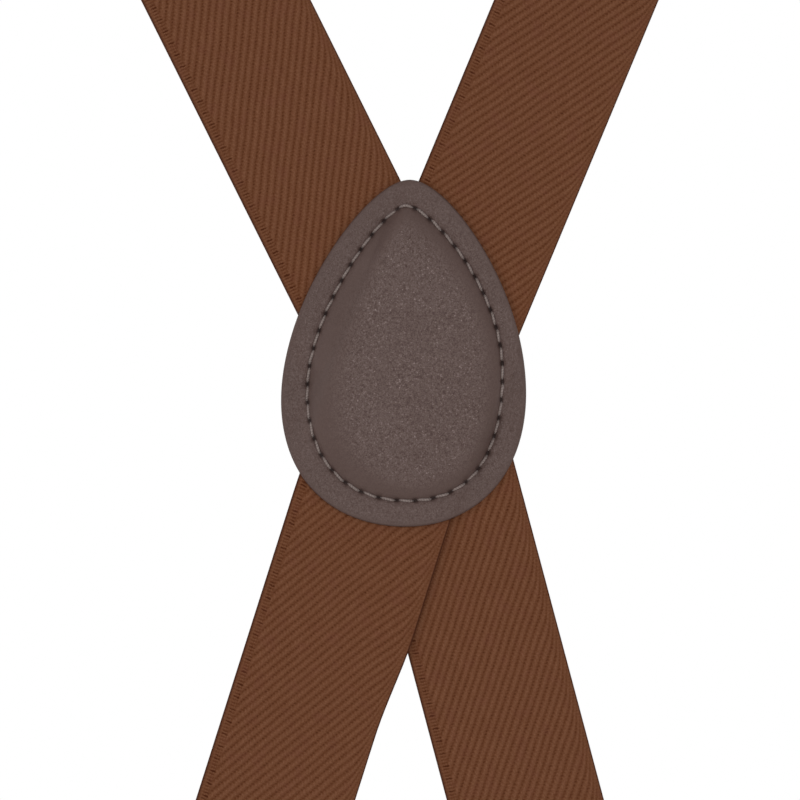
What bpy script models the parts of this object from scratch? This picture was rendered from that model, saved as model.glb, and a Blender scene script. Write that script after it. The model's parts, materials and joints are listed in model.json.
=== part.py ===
"""Crossed-back suspenders: two elastic straps, a leather back patch, four clips and two sliders.

Metres, +Z up.  +X is the wearer's right, +Y the wearer's front.  The origin is the midpoint of
the line between the tops of the two shoulder arches.  The straps hang as they are worn: crossed
on a flat back plane, bent over each shoulder in half a circle, then straight down in front.
"""

import math

import bmesh
import bpy
from mathutils import Matrix, Vector

MM = 0.001
FINE_GAP = 0.3 * MM          # left between two pieces that touch
RUNNING_GAP = 0.05 * MM      # radial play of a pin in its hole
MERGE = 0.00001              # vertices closer than this are one

# Straps.
STRAP_WIDTH = 38 * MM
STRAP_THICK = 1.6 * MM
LAYER_PITCH = STRAP_THICK + FINE_GAP     # middle of one layer to the middle of the next
CROSSING = Vector((12 * MM, 0, -266 * MM))
SHOULDER_RADIUS = 100 * MM               # half circle over the shoulder, so the depth is 200 mm
BEND_LENGTH = 24 * MM                    # each strap turns inside its own plane along this much
TAIL_HINGE = 78 * MM                     # below the crossing, where a tail flexes
TAIL_LENGTH = 215 * MM                   # crossing to the rear clip's bar
HINGE_SLIT = 2.4 * MM                    # the solids stop this far apart where the strap flexes
FRONT_CLIP_Z = -475 * MM
SLIDER_Z = -300 * MM
LOOP_RADIUS = 2.35 * MM                  # middle of the webbing where it wraps a bar
TAB_LENGTH = 30 * MM                     # webbing sewn back on itself past a bar
FLARE_LENGTH = 9 * MM                    # over this the two layers spread apart to clear a bar

# side is -1 for the strap of the left shoulder and +1 for the right one, which is the layer on
# top.  lean_up and lean_down are the angles from the vertical of its two straight runs, and
# corner is where the middles of those runs would meet: x and z from the crossing.
STRAPS = {
    "left": {
        "side": -1, "layer": 0, "lean_up": math.radians(26.5), "lean_down": math.radians(14.9),
        "corner": (-0.8 * MM, 1.7 * MM),
    },
    "right": {
        "side": 1, "layer": 1, "lean_up": math.radians(22.6), "lean_down": math.radians(17.6),
        "corner": (-9.2 * MM, -24 * MM),
    },
}

# Leather patch, as four anchors of a closed curve measured from the crossing: x, z, the handle
# on the way in and the handle on the way out.  The curve runs clockwise from the top.
PATCH_TOP = (-1.4 * MM, 50 * MM)
PATCH_RIGHT = (27.8 * MM, -3.4 * MM)
PATCH_BOTTOM = (-2.3 * MM, -36.6 * MM)
PATCH_LEFT = (-33.5 * MM, -5.1 * MM)
TOP_HANDLE = 10.2 * MM
SHOULDER_HANDLE = 25.3 * MM
HIP_HANDLE = 19.9 * MM
BOTTOM_HANDLE = 18 * MM
LEATHER_THICK = 1.4 * MM
PADDING_THICK = 1.5 * MM
PADDING_SCALE = 0.74

# Clips.  In a clip's own frame X runs along its bar, Y points away from the wearer, Z runs up
# the strap, and the origin is the middle of the bar.
BAR_RADIUS = 1.25 * MM
ARM_INSIDE = 19.8 * MM                   # half the slot that the strap passes through
ARM_WIDTH = 2.4 * MM
SHEET_THICK = 1.2 * MM
SLOT_BOTTOM = 5.4 * MM                   # below the bar's centre
CLIP_LENGTH = 42 * MM
JAW_HALF_WIDTH = 16 * MM
CHEEK_INSIDE = 14.6 * MM
CLIP_PIN_Y = 7.6 * MM
CLIP_PIN_Z = -33 * MM
CLIP_PIN_RADIUS = 1.0 * MM
CHEEK_RADIUS = 2.6 * MM
JAW_REACH = 5.1 * MM                     # pin's axis to the tip of the nylon jaw
JAW_WALL = 1.1 * MM
CLIP_COVER_Y = 3.4 * MM                  # pin's axis to the back of the cover plate
CLIP_COVER_UP = 23 * MM
CLIP_COVER_HALF_WIDTH = 17.2 * MM
CLIP_BARREL = 2.3 * MM                   # half the height of a lever round its pin
NOSE_HALF = 1.1 * MM                     # half the height of the nose that carries the jaw
LEVER_SIDE_PLAY = 0.4 * MM               # lever to cheek, on each side
JAW_SIDE_PLAY = 0.8 * MM
PAD_SIDE_PLAY = 0.6 * MM
PAD_THICK = 1.2 * MM
PAD_HEIGHT = 9 * MM
PAD_RIDGES = 5
JAW_RIDGES = 3
RIDGE_DEPTH = 0.35 * MM                  # of the ridges on the jaw and on the pad
WEB_INSET = 0.4 * MM                     # a lever's web is this much thinner than its barrel

# Sliders.  Same axes; the origin is the middle of the strap's outer layer.
CHEEK_GAP = 0.6 * MM                     # strap's edge to a slider's cheek
SLIDER_HALF_HEIGHT = 10 * MM
SLIDER_PIN_Y = 3.5 * MM
SLIDER_PIN_Z = 5 * MM
SLIDER_PIN_RADIUS = 0.9 * MM
SLIDER_BARREL = 1.9 * MM
SLIDER_BAR_Z = -5 * MM
SLIDER_COVER_Y = 2.0 * MM                # pin's axis to the back of the cover plate
SLIDER_SHEET = 0.9 * MM
SLIDER_CHEEK_HEAD = 2.2 * MM             # pin's axis to the cheek's edge above and below it
SLIDER_STEP = 3.2 * MM                   # below the pin, where the cover grows wider

ROUND_SIDES = 16
EDGE_ROUNDING = 0.25 * MM
BEVEL_FROM = math.radians(50)            # edges sharper than this are rounded
SHARP_FROM = math.radians(40)            # and edges sharper than this are shaded sharp
STRAP_CELLS = (52, 4)                    # along and across the piece that goes over a shoulder

COLOURS = {                              # base colour, roughness, metallic
    "webbing": ((0.130, 0.050, 0.026), 0.85, 0.0),
    "leather": ((0.118, 0.083, 0.076), 0.6, 0.0),
    "felt": ((0.20, 0.18, 0.17), 0.95, 0.0),
    "nickel": ((0.62, 0.61, 0.58), 0.28, 1.0),
    "steel": ((0.50, 0.50, 0.49), 0.35, 1.0),
    "nylon": ((0.05, 0.045, 0.04), 0.5, 0.0),
}

# ---------------------------------------------------------------- scene, materials and helpers


def clear_scene():
    for obj in list(bpy.data.objects):
        bpy.data.objects.remove(obj, do_unlink=True)


def new_collection(name):
    collection = bpy.data.collections.new(name)
    bpy.context.scene.collection.children.link(collection)
    return collection


def make_material(name):
    colour, roughness, metallic = COLOURS[name]
    material = bpy.data.materials.new(name)
    material.use_nodes = True
    shader = material.node_tree.nodes["Principled BSDF"]
    shader.inputs["Base Color"].default_value = (*colour, 1)
    shader.inputs["Roughness"].default_value = roughness
    shader.inputs["Metallic"].default_value = metallic
    return material


def add_object(name, mesh, material, parent=None, collection=None):
    obj = bpy.data.objects.new(name, mesh)
    (collection or PARTS).objects.link(obj)
    if material:
        mesh.materials.append(MATERIALS[material])
    obj.parent = parent
    return obj


def add_guide(name, mesh, parent=None):
    """A solid that only cuts another one, or is joined to it."""
    obj = add_object(name, mesh, None, parent, CUTTERS)
    obj.hide_render = True
    obj.display_type = "WIRE"
    return obj


def add_frame(name, matrix, parent=None):
    """An empty that carries a piece's own axes."""
    empty = bpy.data.objects.new(name, None)
    PARTS.objects.link(empty)
    empty.empty_display_size = 0.01
    empty.parent = parent
    empty.matrix_basis = matrix
    return empty


def combine(target, guide, operation):
    modifier = target.modifiers.new(operation.title(), "BOOLEAN")
    modifier.operation = operation
    modifier.solver = "EXACT"
    modifier.object = guide


def round_edges(obj):
    modifier = obj.modifiers.new("Edges", "BEVEL")
    modifier.width = EDGE_ROUNDING
    modifier.segments = 1
    modifier.limit_method = "ANGLE"
    modifier.angle_limit = BEVEL_FROM


def shade_round(mesh):
    mesh.shade_smooth()
    mesh.set_sharp_from_angle(angle=SHARP_FROM)


def rounded(corners, radius, steps=4):
    """The points of a polygon whose corners are arcs; a corner may carry its own radius."""
    points = []
    for index, corner in enumerate(corners):
        here = Vector(corner[:2])
        back = Vector(corners[index - 1][:2]) - here
        ahead = Vector(corners[(index + 1) % len(corners)][:2]) - here
        size = corner[2] if len(corner) > 2 else radius
        half = back.angle(ahead) / 2
        centre = here + (back.normalized() + ahead.normalized()).normalized() * size / math.sin(half)
        start = here + back.normalized() * size / math.tan(half) - centre
        end = here + ahead.normalized() * size / math.tan(half) - centre
        turn = start.angle_signed(end)
        for step in range(steps + 1):
            points.append(centre + Matrix.Rotation(-turn * step / steps, 2) @ start)
    return points


def circle(centre, radius):
    turn = 2 * math.pi / ROUND_SIDES
    return [
        Vector((centre[0] + radius * math.cos(turn * i), centre[1] + radius * math.sin(turn * i)))
        for i in range(ROUND_SIDES)
    ]


def mesh_of_curve(curve, name):
    """The closed mesh of a curve, with its caps welded and its flat faces made whole."""
    holder = bpy.data.objects.new(name, curve)
    CUTTERS.objects.link(holder)
    depsgraph = bpy.context.evaluated_depsgraph_get()
    mesh = bpy.data.meshes.new_from_object(holder.evaluated_get(depsgraph))
    bpy.data.objects.remove(holder, do_unlink=True)
    bm = bmesh.new()
    bm.from_mesh(mesh)
    bmesh.ops.remove_doubles(bm, verts=bm.verts, dist=MERGE)
    bmesh.ops.dissolve_limit(bm, angle_limit=math.radians(1), verts=bm.verts, edges=bm.edges)
    bmesh.ops.recalc_face_normals(bm, faces=bm.faces)
    bm.to_mesh(mesh)
    bm.free()
    mesh.name = name
    return mesh


def flat_curve(name, thickness):
    curve = bpy.data.curves.new(name, "CURVE")
    curve.dimensions = "2D"
    curve.fill_mode = "BOTH"
    curve.extrude = thickness / 2
    return curve


def plate(name, loops, thickness, axes):
    """A flat plate: loops[0] is the outline and the others are holes.

    axes has the plate's own X, Y and thickness directions as its columns, in the piece's frame.
    """
    curve = flat_curve(name, thickness)
    for loop in loops:
        spline = curve.splines.new("POLY")
        spline.points.add(len(loop) - 1)
        for point, place in zip(spline.points, loop):
            point.co = (place[0], place[1], 0, 1)
        spline.use_cyclic_u = True
    mesh = mesh_of_curve(curve, name)
    mesh.transform(axes)
    return mesh


def axes_xz(y):
    """A plate that faces along Y, with its middle at height y."""
    return Matrix(((1, 0, 0, 0), (0, 0, -1, y), (0, 1, 0, 0), (0, 0, 0, 1)))


def axes_yz(x):
    """A side profile, given as (y, z), that is extruded along X with its middle at x."""
    return Matrix(((0, 0, 1, x), (1, 0, 0, 0), (0, 1, 0, 0), (0, 0, 0, 1)))


def rod(name, radius, length, centre=(0, 0, 0)):
    """A round bar along X."""
    mesh = bpy.data.meshes.new(name)
    bm = bmesh.new()
    bmesh.ops.create_cone(
        bm, cap_ends=True, segments=ROUND_SIDES, radius1=radius, radius2=radius, depth=length,
        matrix=Matrix.Translation(centre) @ Matrix.Rotation(math.pi / 2, 4, "Y"),
    )
    bm.to_mesh(mesh)
    bm.free()
    shade_round(mesh)
    return mesh


def rivet(name, material, radius, half_length, head_radius, head_thick, parent):
    """A pin with a domed head on both ends, turned about X."""
    side = half_length
    outer = side + head_thick
    crown = 0.7 * head_radius
    rim = side + 0.4 * head_thick
    profile = [
        (0, outer), (crown, outer), (head_radius, rim), (head_radius, side), (radius, side),
        (radius, -side), (head_radius, -side), (head_radius, -rim), (crown, -outer), (0, -outer),
    ]
    mesh = bpy.data.meshes.new(name)
    bm = bmesh.new()
    points = [bm.verts.new((across, 0, along)) for across, along in profile]
    for first, second in zip(points, points[1:]):
        bm.edges.new((first, second))
    bm.to_mesh(mesh)
    bm.free()
    obj = add_object(name, mesh, material, parent)
    obj.rotation_euler = (0, math.pi / 2, 0)
    screw = obj.modifiers.new("Turn", "SCREW")
    screw.axis = "Z"
    screw.steps = ROUND_SIDES
    screw.render_steps = ROUND_SIDES
    screw.use_merge_vertices = True
    screw.merge_threshold = MERGE
    return obj


def ribbon(name, material, path, parent):
    """Webbing whose middle follows path, a list of (y, z), straight across along X."""
    mesh = bpy.data.meshes.new(name)
    bm = bmesh.new()
    rows = [
        [bm.verts.new((x, y, z)) for x in (-STRAP_WIDTH / 2, STRAP_WIDTH / 2)]
        for y, z in path
    ]
    for (low_a, low_b), (high_a, high_b) in zip(rows, rows[1:]):
        bm.faces.new((low_a, low_b, high_b, high_a))
    bm.to_mesh(mesh)
    bm.free()
    obj = add_object(name, mesh, material, parent)
    thicken(obj)
    return obj


def thicken(obj):
    solidify = obj.modifiers.new("Webbing", "SOLIDIFY")
    solidify.thickness = STRAP_THICK
    solidify.offset = 0
    solidify.use_even_offset = True


def ease(start, end, steps):
    """Points of a smooth step from start to end, both (y, z), without its first point."""
    points = []
    for step in range(1, steps + 1):
        t = step / steps
        blend = t * t * (3 - 2 * t)
        points.append((start[0] + (end[0] - start[0]) * blend, start[1] + (end[1] - start[1]) * t))
    return points


def wrap(centre, radius, start, end, steps=10):
    """Points around a bar from angle start to angle end, measured in the YZ plane from +Y."""
    return [
        (
            centre[0] + radius * math.cos(start + (end - start) * step / steps),
            centre[1] + radius * math.sin(start + (end - start) * step / steps),
        )
        for step in range(steps + 1)
    ]


# ---------------------------------------------------------------- where a strap runs


def heading(side, lean):
    """Up the strap, in the back plane."""
    return Vector((side * math.sin(lean), 0, math.cos(lean)))


def layer_y(strap):
    """How far the middle of a strap's layer stands out from the plane of the lower layer."""
    return strap["layer"] * LAYER_PITCH


def bend_span(strap):
    """Lengths from the crossing at which the strap's turn starts and ends."""
    middle_lean = (strap["lean_up"] + strap["lean_down"]) / 2
    middle = strap["corner"][1] / math.cos(middle_lean)
    return middle - BEND_LENGTH / 2, middle + BEND_LENGTH / 2


def bend_point(strap, along):
    """Middle of the strap inside its turn, along it from the crossing, and its lean there."""
    side = strap["side"]
    start, end = bend_span(strap)
    turn = (strap["lean_up"] - strap["lean_down"]) / BEND_LENGTH
    lean = strap["lean_down"] + turn * (along - start)
    middle_lean = (strap["lean_up"] + strap["lean_down"]) / 2
    cut = (1 / math.cos(turn * (end - start) / 2) - 1) / turn
    across = cut * math.cos(middle_lean) + (math.cos(middle_lean) - math.cos(lean)) / turn
    up = -cut * math.sin(middle_lean) + (math.sin(lean) - math.sin(middle_lean)) / turn
    corner = CROSSING + Vector((strap["corner"][0], -SHOULDER_RADIUS, strap["corner"][1]))
    return corner + Vector((side * across, 0, up)), lean


def arch_start(strap):
    """Length from the crossing to the arch, which puts the strap's highest point at z = 0."""
    tilt = strap["lean_up"] / 2
    to_top = math.pi / 2 * SHOULDER_RADIUS
    rise = math.cos(tilt) * SHOULDER_RADIUS - math.sin(tilt) * math.tan(tilt) * to_top
    bend_end = bend_span(strap)[1]
    return bend_end + (-bend_point(strap, bend_end)[0].z - rise) / math.cos(strap["lean_up"])


def strap_point(strap, along, across, out=0):
    """A point of the strap: length from the crossing, to the right of the middle, and outward.

    Over the shoulder the flat strap is rolled round a half cylinder whose axis is tilted by
    half of the strap's lean, which is what lets its front end hang exactly vertical.
    """
    side = strap["side"]
    out += layer_y(strap)
    bend_start, bend_end = bend_span(strap)
    if along <= bend_end:
        inside = max(along, bend_start)
        middle, lean = bend_point(strap, inside)
        up = heading(side, lean)
        right = Vector((up.z, 0, -up.x))
        return middle + up * (along - inside) + right * across - Vector((0, out, 0))
    tilt = strap["lean_up"] / 2
    start = arch_start(strap)
    run = heading(side, strap["lean_up"]) * (start - bend_end)
    base = bend_point(strap, bend_end)[0] + run
    axis = Vector((side * math.cos(tilt), 0, -math.sin(tilt)))
    rise = Vector((side * math.sin(tilt), 0, math.cos(tilt)))
    sideways = (along - start) * math.sin(tilt) + side * across * math.cos(tilt)
    length = (along - start) * math.cos(tilt) - side * across * math.sin(tilt)
    radius = SHOULDER_RADIUS
    arch = math.pi * radius
    angle = min(max(length / radius, 0), math.pi)
    height = (radius + out) * math.sin(angle)
    if length < 0:
        height = length
    if length > arch:
        height = arch - length
    depth = radius - (radius + out) * math.cos(angle)
    return base + axis * sideways + rise * height + Vector((0, depth, 0))


def front_top(strap):
    """Middle of the strap where the arch has ended right across it, and its length there."""
    tilt = strap["lean_up"] / 2
    arch = math.pi * SHOULDER_RADIUS
    along = arch_start(strap) + (arch + STRAP_WIDTH / 2 * math.sin(tilt)) / math.cos(tilt)
    return strap_point(strap, along, 0), along


def tail_frame(strap):
    """Frame of the rear clip's bar: Y away from the wearer, Z up the strap."""
    z_axis = heading(strap["side"], strap["lean_down"])
    y_axis = Vector((0, -1, 0))
    x_axis = y_axis.cross(z_axis)
    place = strap_point(strap, -TAIL_LENGTH, 0, -LOOP_RADIUS)
    return Matrix((
        (x_axis.x, y_axis.x, z_axis.x, place.x),
        (x_axis.y, y_axis.y, z_axis.y, place.y),
        (x_axis.z, y_axis.z, z_axis.z, place.z),
        (0, 0, 0, 1),
    ))


def front_frame(strap, z, out):
    """Frame on the front part of a strap, whose axes are the object's own."""
    top = front_top(strap)[0]
    return Matrix.Translation((top.x, top.y + out, z))


# ---------------------------------------------------------------- straps


def make_back_and_shoulder(name, strap):
    """From just above the flex of the tail, over the crossing and the shoulder."""
    low = -TAIL_HINGE + HINGE_SLIT / 2
    high = front_top(strap)[1] - HINGE_SLIT / 2
    along_cells, across_cells = STRAP_CELLS
    mesh = bpy.data.meshes.new(name)
    bm = bmesh.new()
    bmesh.ops.create_grid(bm, x_segments=along_cells, y_segments=across_cells, size=0.5)
    for vertex in bm.verts:
        along = low + (high - low) * (vertex.co.x + 0.5)
        vertex.co = strap_point(strap, along, vertex.co.y * STRAP_WIDTH)
    bmesh.ops.recalc_face_normals(bm, faces=bm.faces)
    bm.to_mesh(mesh)
    bm.free()
    thicken(add_object(name, mesh, "webbing"))


def lower_loop(tab_end):
    """Round the clip's bar from the outer layer, up behind it, to the sewn tab's end."""
    inner = LOOP_RADIUS - LAYER_PITCH
    path = wrap((0, 0), LOOP_RADIUS, 0, -math.pi)
    if tab_end:
        path += ease((-LOOP_RADIUS, 0), (inner, FLARE_LENGTH), 6)
        path.append((inner, tab_end))
    return path


def make_tail(name, frame):
    """Straight part below the crossing, its loop round the clip's bar and the sewn tab."""
    top = TAIL_LENGTH - TAIL_HINGE - HINGE_SLIT / 2
    ribbon(name, "webbing", [(LOOP_RADIUS, top)] + lower_loop(TAB_LENGTH), frame)


def make_front(side_name, strap, frame):
    """Outer layer in front with its loop, and the layer that returns up to the slider."""
    top = front_top(strap)[0].z - HINGE_SLIT / 2 - FRONT_CLIP_Z
    loop_end = 12 * MM
    path = [(LOOP_RADIUS, top)] + lower_loop(0) + [(-LOOP_RADIUS, loop_end)]
    ribbon(f"{side_name}_strap_front", "webbing", path, frame)
    return_top = SLIDER_Z + SLIDER_BAR_Z - TAB_LENGTH - FINE_GAP - FRONT_CLIP_Z
    path = [(-LOOP_RADIUS, loop_end + FINE_GAP), (-LOOP_RADIUS, return_top)]
    ribbon(f"{side_name}_strap_return", "webbing", path, frame)


def slider_bar_y():
    """The slider's bar lies midway between the returning layer and its sewn tab."""
    return -2 * LOOP_RADIUS - LAYER_PITCH / 2


def make_slider_tab(name, frame):
    """End of the strap, looped over the slider's bar and sewn back on itself."""
    front = -2 * LOOP_RADIUS
    back = front - LAYER_PITCH
    bar = (slider_bar_y(), SLIDER_BAR_Z)
    low = SLIDER_BAR_Z - TAB_LENGTH
    path = [(front, low)]
    path += ease((front, SLIDER_BAR_Z - FLARE_LENGTH), (bar[0] + LOOP_RADIUS, SLIDER_BAR_Z), 5)
    path.insert(1, (front, SLIDER_BAR_Z - FLARE_LENGTH))
    path += wrap(bar, LOOP_RADIUS, 0, math.pi)[1:]
    path += ease((bar[0] - LOOP_RADIUS, SLIDER_BAR_Z), (back, SLIDER_BAR_Z - FLARE_LENGTH), 5)
    path.append((back, low))
    ribbon(name, "webbing", path, frame)


# ---------------------------------------------------------------- leather patch


def patch_curve(name, thickness, scale=1.0):
    """The patch's teardrop outline, drawn in X and Z, scaled about its middle."""
    middle = Vector((
        (PATCH_LEFT[0] + PATCH_RIGHT[0]) / 2,
        (PATCH_TOP[1] + PATCH_BOTTOM[1]) / 2,
    ))
    anchors = [
        (PATCH_TOP, (-TOP_HANDLE, 0), (TOP_HANDLE, 0)),
        (PATCH_RIGHT, (0, SHOULDER_HANDLE), (0, -HIP_HANDLE)),
        (PATCH_BOTTOM, (BOTTOM_HANDLE, 0), (-BOTTOM_HANDLE, 0)),
        (PATCH_LEFT, (0, -HIP_HANDLE), (0, SHOULDER_HANDLE)),
    ]
    curve = flat_curve(name, thickness)
    curve.resolution_u = 12
    spline = curve.splines.new("BEZIER")
    spline.bezier_points.add(len(anchors) - 1)
    spline.use_cyclic_u = True
    for point, (place, handle_in, handle_out) in zip(spline.bezier_points, anchors):
        centre = middle + (Vector(place) - middle) * scale
        point.co = (*centre, 0)
        point.handle_left_type = "FREE"
        point.handle_right_type = "FREE"
        point.handle_left = (*(centre + Vector(handle_in) * scale), 0)
        point.handle_right = (*(centre + Vector(handle_out) * scale), 0)
    return curve


def make_patch():
    """Lining, padding and outer leather, from the wearer outward round both straps."""
    back = SHOULDER_RADIUS
    half_strap = STRAP_THICK / 2
    lining = -half_strap - FINE_GAP - LEATHER_THICK / 2
    padding = LAYER_PITCH + half_strap + FINE_GAP + PADDING_THICK / 2
    outer = padding + PADDING_THICK / 2 + FINE_GAP + LEATHER_THICK / 2
    layers = [
        ("patch_lining_leather", "leather", LEATHER_THICK, 1.0, lining),
        ("patch_padding", "felt", PADDING_THICK, PADDING_SCALE, padding),
        ("patch_outer_leather", "leather", LEATHER_THICK, 1.0, outer),
    ]
    for name, material, thickness, scale, out in layers:
        mesh = mesh_of_curve(patch_curve(name, thickness, scale), name)
        mesh.transform(axes_xz(0))
        shade_round(mesh)
        obj = add_object(name, mesh, material)
        obj.location = CROSSING + Vector((0, -back - out, 0))


# ---------------------------------------------------------------- clips


def make_clip_frame(name, frame):
    """Back plate with the strap's slot, its round bar, and two cheeks that hold the pin."""
    outside = ARM_INSIDE + ARM_WIDTH
    elbow = -SLOT_BOTTOM - 3 * MM
    waist = -CLIP_LENGTH / 2
    outline = rounded(
        [
            (outside, 0), (outside, elbow, 4 * MM),
            (JAW_HALF_WIDTH, waist, 8 * MM), (JAW_HALF_WIDTH, -CLIP_LENGTH, 3 * MM),
            (-JAW_HALF_WIDTH, -CLIP_LENGTH, 3 * MM), (-JAW_HALF_WIDTH, waist, 8 * MM),
            (-outside, elbow, 4 * MM), (-outside, 0),
        ],
        0.9 * MM,
    )
    slot_top = -FINE_GAP
    slot = rounded(
        [
            (ARM_INSIDE, slot_top), (ARM_INSIDE, -SLOT_BOTTOM),
            (-ARM_INSIDE, -SLOT_BOTTOM), (-ARM_INSIDE, slot_top),
        ],
        1.0 * MM, 3,
    )
    mesh = plate(name, [outline, slot], SHEET_THICK, axes_xz(0))
    body = add_object(name, mesh, "nickel", frame)
    bar_inset = 0.4 * MM
    bar = rod(f"{name}_bar", BAR_RADIUS, 2 * (outside - bar_inset))
    combine(body, add_guide(f"{name}_bar", bar, frame), "UNION")
    front = CLIP_PIN_Y + CHEEK_RADIUS
    low = CLIP_PIN_Z - CHEEK_RADIUS
    high = CLIP_PIN_Z + CHEEK_RADIUS
    foot = 2 * MM
    for side in (-1, 1):
        cheek_mesh = plate(
            f"{name}_cheek",
            [
                rounded(
                    [
                        (front, low, 2.5 * MM), (0, low, 0.1 * MM),
                        (0, high + foot, 0.1 * MM), (front, high, 2.5 * MM),
                    ],
                    MM,
                ),
                circle((CLIP_PIN_Y, CLIP_PIN_Z), CLIP_PIN_RADIUS + RUNNING_GAP),
            ],
            SHEET_THICK, axes_yz(side * (CHEEK_INSIDE + SHEET_THICK / 2)),
        )
        combine(body, add_guide(f"{name}_cheek", cheek_mesh, frame), "UNION")
    return body


def make_clip_lever(name, pivot):
    """Cover plate with a barrel on the pin and a nose that carries the jaw."""
    inner_half = CHEEK_INSIDE - LEVER_SIDE_PLAY
    nose = JAW_REACH - JAW_WALL - FINE_GAP
    barrel = CLIP_BARREL
    shoulder = 0.6 * barrel
    web_half = barrel - WEB_INSET
    cover_middle = CLIP_COVER_Y + SHEET_THICK / 2
    profile = rounded(
        [
            (-nose, -NOSE_HALF, 0.4 * MM), (-barrel, -NOSE_HALF, 0.3 * MM),
            (-shoulder, -barrel, 0.8 * MM), (cover_middle, -web_half, 0.2 * MM),
            (cover_middle, web_half, 0.2 * MM), (-shoulder, barrel, 0.8 * MM),
            (-barrel, NOSE_HALF, 0.3 * MM), (-nose, NOSE_HALF, 0.4 * MM),
        ],
        0.5 * MM, 3,
    )
    bore = circle((0, 0), CLIP_PIN_RADIUS + RUNNING_GAP)
    block = plate(f"{name}_block", [profile, bore], 2 * inner_half, axes_yz(0))
    half = CLIP_COVER_HALF_WIDTH
    outline = rounded(
        [
            (half, CLIP_COVER_UP, 5 * MM), (half, -barrel, 1.5 * MM),
            (-half, -barrel, 1.5 * MM), (-half, CLIP_COVER_UP, 5 * MM),
        ],
        MM, 5,
    )
    mesh = plate(name, [outline], SHEET_THICK, axes_xz(cover_middle))
    body = add_object(name, mesh, "nickel", pivot)
    combine(body, add_guide(f"{name}_block", block, pivot), "UNION")
    round_edges(body)


def make_clip_jaw(name, pivot):
    """Nylon cap over the lever's nose, with ridges that grip the cloth."""
    tip = -JAW_REACH
    inside = NOSE_HALF + FINE_GAP
    high = inside + JAW_WALL
    mouth_play = 0.4 * MM
    mouth = -CLIP_BARREL - mouth_play
    ridge = 2 * high / JAW_RIDGES
    profile = [(mouth, -high), (tip + RIDGE_DEPTH, -high)]
    for tooth in range(JAW_RIDGES):
        profile.append((tip, ridge * (tooth + 0.5) - high))
        profile.append((tip + RIDGE_DEPTH, ridge * (tooth + 1) - high))
    profile += [(mouth, high), (mouth, inside)]
    profile += [(tip + JAW_WALL, inside), (tip + JAW_WALL, -inside), (mouth, -inside)]
    half = CHEEK_INSIDE - JAW_SIDE_PLAY
    mesh = plate(name, [profile], 2 * half, axes_yz(0))
    add_object(name, mesh, "nylon", pivot)


def make_clip_pad(name, frame):
    """Ribbed nylon pad on the back plate, opposite the jaw."""
    base = SHEET_THICK / 2 + FINE_GAP
    crest = base + PAD_THICK
    low = CLIP_PIN_Z - PAD_HEIGHT / 2
    ridge = PAD_HEIGHT / PAD_RIDGES
    profile = [(base, low + PAD_HEIGHT), (base, low), (crest - RIDGE_DEPTH, low)]
    for tooth in range(PAD_RIDGES):
        profile.append((crest, low + ridge * (tooth + 0.5)))
        profile.append((crest - RIDGE_DEPTH, low + ridge * (tooth + 1)))
    half = CHEEK_INSIDE - PAD_SIDE_PLAY
    mesh = plate(name, [profile], 2 * half, axes_yz(0))
    add_object(name, mesh, "nylon", frame)


def make_clip(name, matrix):
    """One clip in the frame of its bar."""
    frame = add_frame(f"{name}_bar_frame", matrix)
    pivot = add_frame(
        f"{name}_pin_frame", Matrix.Translation((0, CLIP_PIN_Y, CLIP_PIN_Z)), frame)
    make_clip_frame(f"{name}_frame", frame)
    make_clip_lever(f"{name}_lever", pivot)
    make_clip_jaw(f"{name}_jaw", pivot)
    make_clip_pad(f"{name}_pad", frame)
    rivet(
        f"{name}_pin", "steel", CLIP_PIN_RADIUS, CHEEK_INSIDE + SHEET_THICK + FINE_GAP,
        1.7 * MM, 0.6 * MM, pivot)
    return frame


# ---------------------------------------------------------------- sliders


def make_slider_frame(name, frame):
    """Back plate behind the strap, two cheeks beside it and the bar for the strap's end."""
    inside = STRAP_WIDTH / 2 + CHEEK_GAP
    back_y = -STRAP_THICK / 2 - FINE_GAP - SLIDER_SHEET / 2
    half_height = SLIDER_HALF_HEIGHT
    overlap = 1.0 * MM
    side_edge = inside + overlap
    outline = rounded(
        [
            (side_edge, half_height), (side_edge, -half_height),
            (-side_edge, -half_height), (-side_edge, half_height),
        ],
        overlap, 3,
    )
    mesh = plate(name, [outline], SLIDER_SHEET, axes_xz(back_y))
    body = add_object(name, mesh, "nickel", frame)
    bar_mesh = rod(
        f"{name}_bar", BAR_RADIUS, 2 * (inside + SHEET_THICK / 2),
        (0, slider_bar_y(), SLIDER_BAR_Z))
    combine(body, add_guide(f"{name}_bar", bar_mesh, frame), "UNION")
    front = SLIDER_PIN_Y + SLIDER_BARREL - 0.1 * MM
    rear = slider_bar_y() - SLIDER_CHEEK_HEAD
    shelf = SLIDER_BAR_Z + 2.6 * MM
    for side in (-1, 1):
        cheek = plate(
            f"{name}_cheek",
            [
                rounded(
                    [
                        (front, SLIDER_PIN_Z + SLIDER_CHEEK_HEAD, 1.7 * MM),
                        (front, SLIDER_PIN_Z - SLIDER_CHEEK_HEAD, 1.7 * MM),
                        (0.5 * MM, -half_height, 1.5 * MM), (rear, -half_height, 2 * MM),
                        (rear, shelf, 2 * MM), (-1.6 * MM, half_height), (0.8 * MM, half_height),
                    ],
                    MM, 3,
                ),
                circle((SLIDER_PIN_Y, SLIDER_PIN_Z), SLIDER_PIN_RADIUS + RUNNING_GAP),
            ],
            SHEET_THICK, axes_yz(side * (inside + SHEET_THICK / 2)),
        )
        combine(body, add_guide(f"{name}_cheek", cheek, frame), "UNION")


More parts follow.
